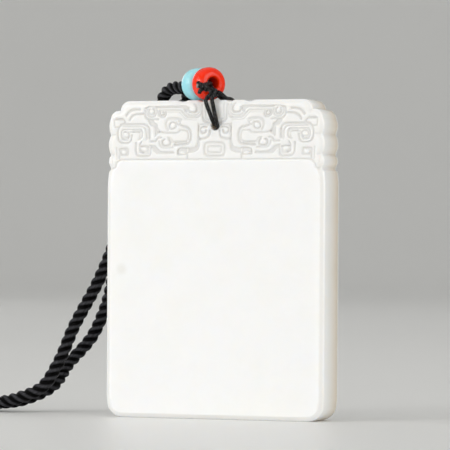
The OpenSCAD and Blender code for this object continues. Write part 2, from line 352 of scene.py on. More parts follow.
@dataclass(frozen=True)
class Nephrite:
    """White nephrite, ground flat and polished with fine grit: a waxy white that lets light in a little.

    The flanks get painted shade, a warmer and darker white towards the back. It stops short of the back's
    rounded edge, so that this edge shows as a thin painted light line. The carved ground, the sloping
    border, the band's rim and the hole's wall get painted shade, a darker white, and they are also duller
    and keep the marks of the points that cut them.
    """

    name: str = "white_nephrite_polished"
    body: str = "#F8F8F7"
    cloud: str = "#F5F5F3"
    # painted shade: the darker white laid into the carving's recesses, the sloping border, the band's rim
    # and the hole's wall
    cut: str = "#DEDDDB"
    speck: str = "#E4E2DC"
    # painted shade: the warmer, darker white laid on the flanks towards the back
    flank_shade: str = "#DCCFBB"
    cloud_mm: float = 11.0
    cloud_span: Pair = (0.42, 0.66)
    fibre_mm: float = 0.9
    fibre_span: Pair = (0.3, 0.7)
    tool_mm: float = 0.25
    speck_at: Point = (-19.5, -4.2, 29.0)
    speck_mm: Pair = (1.6, 0.32)
    speck_share: float = 0.4
    # where the painted shade on the flanks starts and where it is full, front to back, and how much of it
    # is laid on
    flank_shade_mm: Pair = (-2.6, 4.2)
    flank_shade_share: float = 0.9
    # the painted shade on the flanks fades out here, so the back's rounded edge shows as a painted light
    # line
    light_edge_mm: Pair = (3.35, 3.75)
    polish: Pair = (0.16, 0.24)
    duller: float = 0.3

    def material(self) -> bpy.types.Material:
        """Builds the stone: clouds, an inclusion, painted shade on the flanks with a painted light back
        edge, painted shade and a duller polish in the cuts, and light that goes in.

        Returns:
            The finished material.
        """
        material, tree = empty_material(self.name)
        place = add(tree, "ShaderNodeTexCoord").outputs["Object"]
        clouds = add(tree, "ShaderNodeTexNoise", {
            "Vector": place, "Scale": 1 / (self.cloud_mm * MM), "Detail": 5.0, "Roughness": 0.6})
        cloudy = add(tree, "ShaderNodeMapRange", {
            0: clouds.outputs["Fac"], 1: self.cloud_span[0], 2: self.cloud_span[1]})
        stone = add(tree, "ShaderNodeMix", {
            0: cloudy.outputs[0], 6: linear(self.body), 7: linear(self.cloud)}, data_type="RGBA")
        away = add(tree, "ShaderNodeVectorMath", {
            0: place, 1: [v * MM for v in self.speck_at]}, operation="DISTANCE")
        spot = add(tree, "ShaderNodeMapRange", {
            0: away.outputs["Value"], 1: self.speck_mm[0] * MM, 2: self.speck_mm[1] * MM,
            4: self.speck_share}, interpolation_type="SMOOTHSTEP")
        spotted = add(tree, "ShaderNodeMix", {
            0: spot.outputs[0], 6: stone.outputs[2], 7: linear(self.speck)}, data_type="RGBA")
        # Painted shade on the flanks: warmer and darker towards the back, left off the back's edge as a
        # painted light line.
        inwards = add(tree, "ShaderNodeSeparateXYZ", {0: place}).outputs["Y"]
        rear_shade = add(tree, "ShaderNodeMapRange", {
            0: inwards, 1: self.flank_shade_mm[0] * MM, 2: self.flank_shade_mm[1] * MM, 4: self.flank_shade_share},
            interpolation_type="SMOOTHSTEP")
        inner = add(tree, "ShaderNodeMapRange", {
            0: inwards, 1: self.light_edge_mm[0] * MM, 2: self.light_edge_mm[1] * MM, 3: 1.0, 4: 0.0})
        shaded_flank = add(tree, "ShaderNodeAttribute", attribute_name="shaded_flank")
        shade_before_light_edge = add(tree, "ShaderNodeMath", {
            0: shaded_flank.outputs["Fac"], 1: inner.outputs[0]}, operation="MULTIPLY")
        painted_flank_shade = add(tree, "ShaderNodeMath", {
            0: rear_shade.outputs[0], 1: shade_before_light_edge.outputs[0]}, operation="MULTIPLY")
        with_flank_shade = add(tree, "ShaderNodeMix", {
            0: painted_flank_shade.outputs[0], 6: spotted.outputs[2], 7: linear(self.flank_shade)}, data_type="RGBA")
        # The carved mask lays painted shade into recesses and edges here, and further down also dulls the
        # polish and adds tool marks.
        carved = add(tree, "ShaderNodeAttribute", attribute_name="carved").outputs["Fac"]
        colour = add(tree, "ShaderNodeMix", {
            0: carved, 6: with_flank_shade.outputs[2], 7: linear(self.cut)}, data_type="RGBA")
        fibres = add(tree, "ShaderNodeTexNoise", {
            "Vector": place, "Scale": 1 / (self.fibre_mm * MM), "Detail": 4.0, "Roughness": 0.55})
        shine = add(tree, "ShaderNodeMapRange", {
            0: fibres.outputs["Fac"], 1: self.fibre_span[0], 2: self.fibre_span[1],
            3: self.polish[0], 4: self.polish[1]})
        rough = add(tree, "ShaderNodeMath", {
            0: carved, 1: self.duller, 2: shine.outputs[0]}, operation="MULTIPLY_ADD")
        relief = add(tree, "ShaderNodeBump", {
            "Strength": 0.2, "Distance": 0.02 * MM, "Height": fibres.outputs["Fac"]})
        marks = add(tree, "ShaderNodeTexNoise", {
            "Vector": place, "Scale": 1 / (self.tool_mm * MM), "Detail": 2.0})
        bite = add(tree, "ShaderNodeMath", {0: carved, 1: 0.45}, operation="MULTIPLY")
        tooled = add(tree, "ShaderNodeBump", {
            "Strength": bite.outputs[0], "Distance": 0.05 * MM, "Height": marks.outputs["Fac"],
            "Normal": relief.outputs[0]})
        shader = add(tree, "ShaderNodeBsdfPrincipled", {
            "Base Color": colour.outputs[2], "Roughness": rough.outputs[0], "IOR": 1.61,
            "Normal": tooled.outputs[0], "Subsurface Weight": 1.0,
            "Subsurface Radius": (1.0, 0.93, 0.84), "Subsurface Scale": 1.6 * MM})
        add(tree, "ShaderNodeOutputMaterial", {"Surface": shader.outputs[0]})
        return material


@dataclass(frozen=True)
class BeadStone:
    """A bead ground from dyed coral or pressed turquoise and tumbled to a glassy polish."""

    stone: Stone
    cloud_mm: float = 1.6
    cloud_span: Pair = (0.42, 0.68)
    grain_mm: float = 0.35

    def material(self) -> bpy.types.Material:
        """Builds the stone: soft clouds of its second colour, and a fine uneven polish.

        Returns:
            The finished material.
        """
        body, cloud, depth, roughness = self.stone.value
        material, tree = empty_material(f"{self.stone.name.lower()}_bead_polished")
        place = add(tree, "ShaderNodeTexCoord").outputs["Object"]
        clouds = add(tree, "ShaderNodeTexNoise", {
            "Vector": place, "Scale": 1 / (self.cloud_mm * MM), "Detail": 4.0, "Roughness": 0.6})
        cloudy = add(tree, "ShaderNodeMapRange", {
            0: clouds.outputs["Fac"], 1: self.cloud_span[0], 2: self.cloud_span[1], 4: depth})
        colour = add(tree, "ShaderNodeMix", {
            0: cloudy.outputs[0], 6: linear(body), 7: linear(cloud)}, data_type="RGBA")
        grain = add(tree, "ShaderNodeTexNoise", {
            "Vector": place, "Scale": 1 / (self.grain_mm * MM), "Detail": 3.0})
        uneven = add(tree, "ShaderNodeBump", {
            "Strength": 0.25, "Distance": 0.012 * MM, "Height": grain.outputs["Fac"]})
        shader = add(tree, "ShaderNodeBsdfPrincipled", {
            "Base Color": colour.outputs[2], "Roughness": roughness, "IOR": 1.56,
            "Normal": uneven.outputs[0], "Specular IOR Level": 0.3, "Subsurface Weight": 0.15,
            "Subsurface Radius": (1.0, 0.5, 0.35), "Subsurface Scale": 0.4 * MM})
        add(tree, "ShaderNodeOutputMaterial", {"Surface": shader.outputs[0]})
        return material


@dataclass(frozen=True)
class TwistedNylon:
    """Black nylon rope of three strands: painted shade makes it dark in the lay, and a painted silky grey
    highlight lies on the crowns.

    The map runs once round the cord and along it in millimetres, so the filaments follow the cord.
    """

    name: str = "black_nylon_twisted"
    body: str = "#020202"
    # painted highlight: the silky grey laid on the strands' crowns
    crown: str = "#4A4A4E"
    sheen_span: Pair = (0.62, 1.0)
    around_mm: float = 8.2
    filament_mm: float = 0.2
    filament_run_mm: float = 2.4

    def material(self) -> bpy.types.Material:
        """Builds the rope: filaments nearly along the cord, painted shade in the lay and a paler painted
        highlight on the crowns.

        Returns:
            The finished material.
        """
        material, tree = empty_material(self.name)
        wound = add(tree, "ShaderNodeUVMap", uv_map="wound").outputs[0]
        stretch = add(tree, "ShaderNodeMapping", {
            "Vector": wound, "Scale": (self.around_mm / self.filament_mm, 1 / self.filament_run_mm, 1.0)})
        yarn = add(tree, "ShaderNodeTexNoise", {
            "Vector": stretch.outputs[0], "Scale": 1.0, "Detail": 3.0, "Roughness": 0.6},
            noise_dimensions="2D")
        # Painted highlight on the crowns and painted shade in the lay, from how high each point stands on
        # its strand.
        crown = add(tree, "ShaderNodeAttribute", attribute_name="crown").outputs["Fac"]
        high = add(tree, "ShaderNodeMapRange", {0: crown, 1: self.sheen_span[0], 2: self.sheen_span[1]})
        yarn_sheen = add(tree, "ShaderNodeMapRange", {0: yarn.outputs["Fac"], 1: 0.3, 2: 0.7, 3: 0.35})
        lit = add(tree, "ShaderNodeMath", {0: high.outputs[0], 1: yarn_sheen.outputs[0]}, operation="MULTIPLY")
        colour = add(tree, "ShaderNodeMix", {
            0: lit.outputs[0], 6: linear(self.body), 7: linear(self.crown)}, data_type="RGBA")
        bump = add(tree, "ShaderNodeBump", {
            "Strength": 0.55, "Distance": 0.08 * MM, "Height": yarn.outputs["Fac"]})
        shader = add(tree, "ShaderNodeBsdfPrincipled", {
            "Base Color": colour.outputs[2], "Roughness": 0.5, "IOR": 1.53, "Normal": bump.outputs[0],
            "Specular IOR Level": 0.05})
        add(tree, "ShaderNodeOutputMaterial", {"Surface": shader.outputs[0]})
        return material


@dataclass(frozen=True)
class WaxedThread:
    """Black braided nylon thread with a little wax: small crossing stitches whose tops carry flecks of
    painted grey highlight.
    """

    name: str = "black_thread_braided"
    body: str = "#040404"
    # painted highlight: the grey laid on the braid's tops
    top: str = "#58585A"
    cut_end: str = "#8C8983"
    fuzz_mm: float = 0.3
    fleck_span: Pair = (0.47, 0.68)

    def material(self) -> bpy.types.Material:
        """Builds the thread: fuzz over the mesh's own braid, flecks of painted highlight on its tops, and a
        pale cut end.

        Returns:
            The finished material.
        """
        material, tree = empty_material(self.name)
        place = add(tree, "ShaderNodeTexCoord").outputs["Object"]
        fuzz = add(tree, "ShaderNodeTexNoise", {
            "Vector": place, "Scale": 1 / (self.fuzz_mm * MM), "Detail": 3.0, "Roughness": 0.65})
        # Flecks of painted highlight on the braid's tops.
        crown = add(tree, "ShaderNodeAttribute", attribute_name="crown").outputs["Fac"]
        fleck_sheen = add(tree, "ShaderNodeMapRange", {
            0: fuzz.outputs["Fac"], 1: self.fleck_span[0], 2: self.fleck_span[1]})
        lit = add(tree, "ShaderNodeMath", {0: crown, 1: fleck_sheen.outputs[0]}, operation="MULTIPLY")
        braid = add(tree, "ShaderNodeMix", {
            0: lit.outputs[0], 6: linear(self.body), 7: linear(self.top)}, data_type="RGBA")
        frayed = add(tree, "ShaderNodeAttribute", attribute_name="frayed").outputs["Fac"]
        colour = add(tree, "ShaderNodeMix", {
            0: frayed, 6: braid.outputs[2], 7: linear(self.cut_end)}, data_type="RGBA")
        bump = add(tree, "ShaderNodeBump", {
            "Strength": 0.4, "Distance": 0.04 * MM, "Height": fuzz.outputs["Fac"]})
        shader = add(tree, "ShaderNodeBsdfPrincipled", {
            "Base Color": colour.outputs[2], "Roughness": 0.38, "IOR": 1.5, "Normal": bump.outputs[0],
            "Specular IOR Level": 0.14})
        add(tree, "ShaderNodeOutputMaterial", {"Surface": shader.outputs[0]})
        return material


@dataclass
class Cord(ABC):
    """A cord along a route, in millimetres: its middle line and the closed skin over its rings.

    The start is any direction that the route never takes. It turns with the route and sets where a ring
    begins.
    """

    route: Route
    diameter: float
    start: Point
    ring_step: float
    sides: int

    @abstractmethod
    def radius(self, angle: np.ndarray, along: np.ndarray) -> np.ndarray:
        """Radius of the cord's surface.

        Args:
            angle: angles round the cord.
            along: lengths along it.

        Returns:
            The radius at every pair of them.
        """

    def middle(self) -> np.ndarray:
        """The evenly spaced middle line."""
        return even(curve_through(self.route, COARSE_STEP), self.ring_step)

    def skin(self, path: np.ndarray) -> Skin:
        """Lays the rings and closes both ends.

        A point is the middle line's, plus the radius at its angle and length times the direction at
        that angle across the path. Each end is closed by a fan to the middle of its last ring.

        Args:
            path: the middle line's points.

        Returns:
            The points, the faces, the map, once round and along in millimetres, and how high each point
            stands on its strand, from 0 in the lay to 1 on the crown.
        """
        rows, sides = len(path), self.sides
        along = run_length(path)
        first, second = untwisted_frames(path, self.start)
        angle = np.arange(sides) * 2 * np.pi / sides
        out = self.radius(angle[None], along[:, None])
        crown = (out - out.min()) / max(float(np.ptp(out)), TINY)
        rings = path[:, None] + out[:, :, None] * (np.cos(angle)[None, :, None] * first[:, None]
                                                  + np.sin(angle)[None, :, None] * second[:, None])
        here = np.arange(sides)
        after = (here + 1) % sides
        last = (rows - 1) * sides
        front = np.stack([after, here, np.full(sides, rows * sides)], 1)
        back = np.stack([last + here, last + after, np.full(sides, rows * sides + 1)], 1)
        u = np.stack([here, here + 1, here + 1, here], 1) / sides
        v = np.stack([along[:-1], along[:-1], along[1:], along[1:]], 1)
        wall = np.stack([np.broadcast_to(u[None], (rows - 1, sides, 4)),
                         np.broadcast_to(v[:, None], (rows - 1, sides, 4))], -1).reshape(-1, 2)
        caps = np.zeros((front.size + back.size, 2))
        return (np.concatenate([rings.reshape(-1, 3), path[:1], path[-1:]]),
                [grid_quads(rows, sides, True), front, back],
                np.concatenate([wall, caps]), np.concatenate([crown.ravel(), [0, 0]]))


def joined(skins: list[Skin]) -> Skin:
    """Puts several skins into one, with the corner numbers of the later ones moved up.

    Args:
        skins: the skins.

    Returns:
        One skin of them all.
    """
    points, blocks, uv, crown = zip(*skins)
    first = np.cumsum([0] + [len(block) for block in points])
    faces = [block + start for several, start in zip(blocks, first) for block in several]
    return np.concatenate(points), faces, np.concatenate(uv), np.concatenate(crown)


def make_cord(name: str, skin: Skin, values: dict[str, np.ndarray] | None = None) -> bpy.types.Object:
    """Makes a cord's skin a piece that keeps the height of its crowns and any further values."""
    points, faces, uv, crown = skin
    return make_piece(name, points, faces, uv, {"crown": crown, **(values or {})})


@dataclass
class LaidRope(Cord):
    """A rope of three strands laid together."""

    ring_step: float = 0.22
    sides: int = 36
    lay_length: float = 5.7
    strand_out: float = 0.56
    strand_r: float = 0.74
    lay: Lay = Lay.RIGHT

    def radius(self, angle: np.ndarray, along: np.ndarray) -> np.ndarray:
        """Outer side of three round strands that turn about the middle.

        Each strand is a circle whose centre stands off the middle. In its third of the turn the rope's
        radius is the far crossing of the ray with that circle: the offset times the cosine, plus the
        root of the strand's radius squared less the offset times the sine squared.

        Args:
            angle: angles round the rope.
            along: lengths along it.

        Returns:
            The radius at every pair of them.
        """
        turned = angle - self.lay.value * 2 * np.pi * along / self.lay_length
        third = 2 * np.pi / 3
        off = (turned + third / 2) % third - third / 2
        reach = np.sqrt(self.strand_r ** 2 - (self.strand_out * np.sin(off)) ** 2)
        return self.strand_out * np.cos(off) + reach


@dataclass
class BraidedCord(Cord):
    """A thin round braid of crossing ends."""

    ring_step: float = 0.06
    sides: int = 24
    stitch: float = 0.62
    relief: float = 0.035
    ridges: int = 4

    def radius(self, angle: np.ndarray, along: np.ndarray) -> np.ndarray:
        """Radius of the braid: the higher of two sets of ridges that climb in opposite ways.

        Args:
            angle: angles round the braid.
            along: lengths along it.

        Returns:
            The radius at every pair of them.
        """
        climb = 2 * np.pi * along / self.stitch
        turned = self.ridges * angle
        ridge = np.maximum(np.cos(turned + climb), np.cos(turned - climb))
        return self.diameter / 2 - self.relief + self.relief * ridge


# The neck cord's middle line: from the turquoise bead down behind the tablet, out to the left, one fold
# on the surface, round the far bend and back up to the bead.
NECK_ROUTE: Route = [
    (-8.34, 1.33, 64.6), (-10.1, 2.55, 64.8), (-11.85, 3.75, 64.85), (-13.5, 4.85, 64.45),
    (-14.85, 5.8, 63.4), (-15.75, 6.35, 61.8), (-16.75, 6.55, 59.0), (-22.5, 7.2, 43.6),
    (-29.3, 6.6, 26.5), (-34.3, 5.8, 17.2), (-37.2, 4.8, 10.0), (-40.2, 3.8, 5.2), (-45.0, 3.5, 3.0),
    (-52.0, 4.2, 1.6), (-62.0, 8.4, 1.36), (-78.0, 13.75, 1.3), (-95.0, 15.2, 1.3), (-117.7, 15.4, 1.3),
    (-122.2, 15.4, 1.3), (-126.37, 13.67, 1.3), (-128.1, 9.5, 1.3), (-126.37, 5.33, 1.3),
    (-122.2, 3.6, 1.3), (-117.7, 3.6, 1.3), (-68.0, 5.3, 1.3), (-63.4, 5.3, 1.3), (-59.23, 3.57, 1.3),
    (-57.5, -0.6, 1.3), (-59.23, -4.77, 1.3), (-63.4, -6.5, 1.3), (-68.0, -6.5, 1.3),
    (-115.5, 0.4, 1.3), (-122.4, 0.5, 1.3), (-128.76, 3.14, 1.3), (-131.4, 9.5, 1.3),
    (-128.76, 15.86, 1.3), (-122.4, 18.5, 1.3), (-115.5, 18.5, 1.3), (-95.0, 18.4, 1.3),
    (-78.0, 16.9, 1.3), (-62.0, 11.8, 1.36), (-52.0, 7.6, 1.6), (-45.0, 7.0, 2.7), (-40.9, 9.4, 4.9),
    (-39.2, 14.7, 9.8), (-35.4, 17.4, 15.2), (-32.8, 17.6, 20.6), (-28.6, 15.2, 33.0),
    (-12.95, 8.15, 58.95), (-11.0, 7.3, 62.1), (-10.1, 6.6, 63.35), (-8.9, 5.65, 64.2),
    (-6.9, 3.99, 64.55),
]

# The thin cord's two turns, from the knot down the front, through the hole and back over the top edge.
LEFT_TURN: Route = [
    (-1.15, -4.5, 62.6), (-1.55, -4.9, 61.9), (-1.35, -5.0, 61.1), (-1.0, -4.9, 60.1),
    (-0.62, -4.8, 59.1), (-0.26, -4.65, 58.1), (-0.04, -4.5, 57.55), (-0.1, -4.1, 57.2),
    (-0.28, -3.3, 57.13), (-0.31, 0.0, 57.12), (-0.31, 3.2, 57.13), (-0.35, 4.4, 57.4),
    (-0.45, 4.95, 58.6), (-0.5, 5.0, 60.0), (-0.5, 4.95, 61.3), (-0.46, 4.45, 62.1), (-0.4, 3.0, 62.44),
    (-0.2, 1.0, 62.45), (0.12, -0.8, 62.45), (0.06, -1.9, 62.75), (-0.1, -2.75, 63.15),
]
RIGHT_TURN: Route = [
    (-0.3, -4.75, 62.6), (-0.2, -5.0, 61.9), (0.0, -5.0, 61.0), (0.2, -4.95, 60.0), (0.42, -4.9, 59.0),
    (0.6, -4.75, 58.0), (0.71, -4.5, 57.2), (0.66, -4.05, 56.85), (0.53, -3.3, 56.82),
    (0.51, 0.0, 56.83), (0.51, 3.2, 56.84), (0.5, 4.4, 57.15), (0.42, 4.95, 58.6), (0.38, 5.0, 60.0),
    (0.38, 4.95, 61.3), (0.42, 4.45, 62.1), (0.5, 3.0, 62.44), (0.7, 1.0, 62.46), (0.97, -0.8, 62.55),
    (0.9, -2.2, 63.0), (0.68, -3.1, 63.4),
]

# The two threads that run on inside the beads, from the knot to the ends of the neck cord.
BEAD_THREADS: list[Route] = [
    [(-2.59, -0.61, 65.3), (-4.82, 1.08, 65.3), (-7.06, 2.76, 65.3)],
    [(-3.09, -1.28, 65.3), (-5.33, 0.41, 65.3), (-7.56, 2.09, 65.3)],
]

# The knot's lengths of thread: three cut tails, two that go into the red bead, two that lead into the
# turns of the thin cord, and the one that joins the knot's two coils. The second tail's end is cut and
# frayed.
KNOT_LENGTHS: list[Route] = [
    [(-0.6, -4.6, 63.9), (-1.5, -5.1, 64.7), (-2.3, -5.4, 64.95), (-2.85, -5.5, 65.2),
     (-3.05, -5.45, 65.4)],
    [(-0.5, -4.8, 63.7), (-1.5, -5.5, 64.5), (-2.3, -5.75, 64.6), (-2.75, -5.8, 64.6),
     (-3.0, -5.75, 64.6)],
    [(-0.3, -4.7, 63.5), (-1.3, -5.3, 64.2), (-2.1, -5.5, 64.1), (-2.55, -5.5, 63.65),
     (-2.7, -5.4, 63.25)],
    [(-1.95, -5.15, 64.4), (-1.6, -4.95, 64.85), (-1.38, -4.6, 65.1), (-1.35, -4.0, 65.2),
     (-1.4, -3.2, 65.25), (-1.7, -2.2, 65.3), (-2.6, -0.9, 65.3)],
    [(-0.4, -4.2, 63.6), (-0.75, -3.6, 64.1), (-1.1, -3.0, 64.5), (-1.6, -2.4, 64.85),
     (-2.3, -1.85, 65.0), (-3.0, -1.3, 65.1)],
    [(0.15, -4.35, 63.65), (-0.45, -4.7, 63.2), (-0.95, -4.72, 62.8), (-1.32, -4.75, 62.45),
     (-1.53, -4.88, 61.95)],
    [(0.3, -4.3, 63.75), (0.12, -4.6, 63.2), (-0.12, -4.78, 62.65), (-0.22, -4.95, 62.1)],
    [(-1.9, -5.2, 64.3), (-1.2, -4.9, 64.05), (-0.6, -4.75, 63.85), (0.0, -4.6, 63.7)],
]


@dataclass(frozen=True)
class NeckCord:
    """The twisted neck cord, one whole loop of its real length, whose length along its middle is told once.
    """

    route: Route = field(default_factory=lambda: NECK_ROUTE)
    diameter: float = 2.6
    length_m: float = 0.5
    start: Point = (0.0, 0.0, 1.0)
    told_every: int = 8

    def build(self) -> None:
        rope = LaidRope(self.route, self.diameter, self.start)
        path = rope.middle()
        piece = make_cord("neck_cord_laid", rope.skin(path))
        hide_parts("neck_cord")
        dress(piece, TwistedNylon().material())
        log.info("neck cord: %.1f mm along its middle", run_length(path)[-1])


@dataclass(frozen=True)
class PendantLoop:
    """The two turns of thin braided cord that carry the tablet, and the threads that hold the beads."""

    routes: list[Route] = field(default_factory=lambda: [LEFT_TURN, RIGHT_TURN, *BEAD_THREADS])
    diameter: float = 0.8
    start: Point = (1.0, 0.0, 0.0)

    def build(self, thread: bpy.types.Material) -> None:
        """Builds the turns and the threads as one piece, in the thread's finish.

        Args:
            thread: the thread's finish.
        """
        cords = [BraidedCord(route, self.diameter, self.start) for route in self.routes]
        piece = make_cord("pendant_loop_braided", joined([cord.skin(cord.middle()) for cord in cords]))
        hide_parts("pendant_loop")
        dress(piece, thread)


@dataclass(frozen=True)
class Coil:
    """Turns of thread laid side by side in the knot: middle, axis and how often it goes round."""

    centre: Point
    along: Point
    turns: float
    radius: float = 0.5
    pitch: float = 0.72
    points_a_turn: int = 10

    def route(self) -> Route:
        """Points on a screw line: the radius at the turning angle, plus the pitch for every turn.

        Returns:
            The coil's points.
        """
        axis = np.asarray(self.along) / np.linalg.norm(self.along)
        first = np.cross(axis, [0.0, 1.0, 0.0])
        first /= np.linalg.norm(first)
        second = np.cross(axis, first)
        share = np.linspace(-0.5, 0.5, round(self.turns * self.points_a_turn))[:, None]
        turn = 2 * np.pi * self.turns * share
        line = (np.asarray(self.centre) + self.pitch * self.turns * share * axis
                + self.radius * (np.cos(turn) * first + np.sin(turn) * second))
        return [tuple(point) for point in line.tolist()]


@dataclass(frozen=True)
class ThreadKnot:
    """The small knot before the red bead: tight coils over hanging threads, and a tuft of cut ends."""

    lengths: list[Route] = field(default_factory=lambda: KNOT_LENGTHS)
    diameter: float = 0.8
    start: Point = (0.1, 0.3, 0.95)
    coils: tuple[Coil, ...] = (
        Coil((0.0, -4.35, 63.45), (0.8, 0.2, -0.55), 2.0),
        Coil((-1.7, -5.3, 64.45), (0.9, 0.38, -0.1), 1.7))
    frayed_tail: int = 1
    frayed_mm: Pair = (0.62, 0.42)

    def build(self, thread: bpy.types.Material) -> None:
        """Builds all lengths of thread as one piece, in the thread's finish.

        Args:
            thread: the thread's finish.
        """
        lines = [*self.lengths, *(coil.route() for coil in self.coils)]
        cords = [BraidedCord(line, self.diameter, self.start) for line in lines]
        skin = joined([cord.skin(cord.middle()) for cord in cords])
        away = np.linalg.norm(skin[0] - np.asarray(self.lengths[self.frayed_tail][-1]), axis=1)
        sound, open_end = self.frayed_mm
        frayed = smooth_step((sound - away) / (sound - open_end))
        piece = make_cord("knot_tied", skin, {"frayed": frayed})
        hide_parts("knot")
        dress(piece, thread)


@dataclass(frozen=True)
class RingBead:
    """One ring bead, ground round over its outside and eased into its hole.

    Its hole lies level and heads to that many degrees from the tablet's width.
    """

    node: str
    stone: Stone
    slot: str
    centre: Point
    heading: float = -37.0
    outer_r: float = 3.25
    hole_r: float = 1.2
    length: float = 3.95
    lip: float = 0.5
    lip_deep: float = 0.62
    fullness: float = 2.5
    around: int = 128
    section: int = 60

    def profile(self) -> tuple[np.ndarray, np.ndarray]:
        """Closed section of the bead.

        Outside, the radius is the lip's plus the rest of the wall times the cosine of an angle, and the
        place along the hole is half the length times the sine, both raised to two over the fullness
        with their sign kept. Each mouth of the hole is a quarter of an ellipse as wide as the lip and
        as deep as its depth.

        Returns:
            Distances from the middle of the hole, and places along it.
        """
        angle = np.linspace(-np.pi / 2, np.pi / 2, self.section)
        power = 2 / self.fullness
        mouth = self.hole_r + self.lip
        outside = mouth + (self.outer_r - mouth) * np.abs(np.cos(angle)) ** power
        outside_at = self.length / 2 * np.sign(np.sin(angle)) * np.abs(np.sin(angle)) ** power
        ease = np.linspace(np.pi / 2, 0.0, self.section // 4)[1:]
        inside = self.hole_r + self.lip * (1 - np.cos(ease))
        inside_at = self.length / 2 - self.lip_deep * (1 - np.sin(ease))
        return (np.concatenate([outside, inside, inside[::-1]]),
                np.concatenate([outside_at, inside_at, -inside_at[::-1]]))

    def build(self) -> None:
        """Builds the bead by turning its section about the hole."""
        radius, along = self.profile()
        turn = np.arange(self.around) * 2 * np.pi / self.around
        heading = math.radians(self.heading)
        axis = np.array([math.cos(heading), math.sin(heading), 0.0])
        side = np.array([-axis[1], axis[0], 0.0])
        up = np.array([0.0, 0.0, 1.0])
        across = np.cos(turn)[:, None, None] * side + np.sin(turn)[:, None, None] * up
        points = np.asarray(self.centre) + across * radius[None, :, None] + along[None, :, None] * axis
        count = len(radius)
        here = np.arange(count)
        after = (here + 1) % count
        last = (self.around - 1) * count
        seam = np.stack([last + here, last + after, after, here], 1)
        quads = grid_quads(self.around, count, True)
        piece = make_piece(f"{self.node}_turned", points.reshape(-1, 3), [quads[:, ::-1], seam[:, ::-1]])
        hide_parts(self.node)
        dress(piece, BeadStone(self.stone).material())


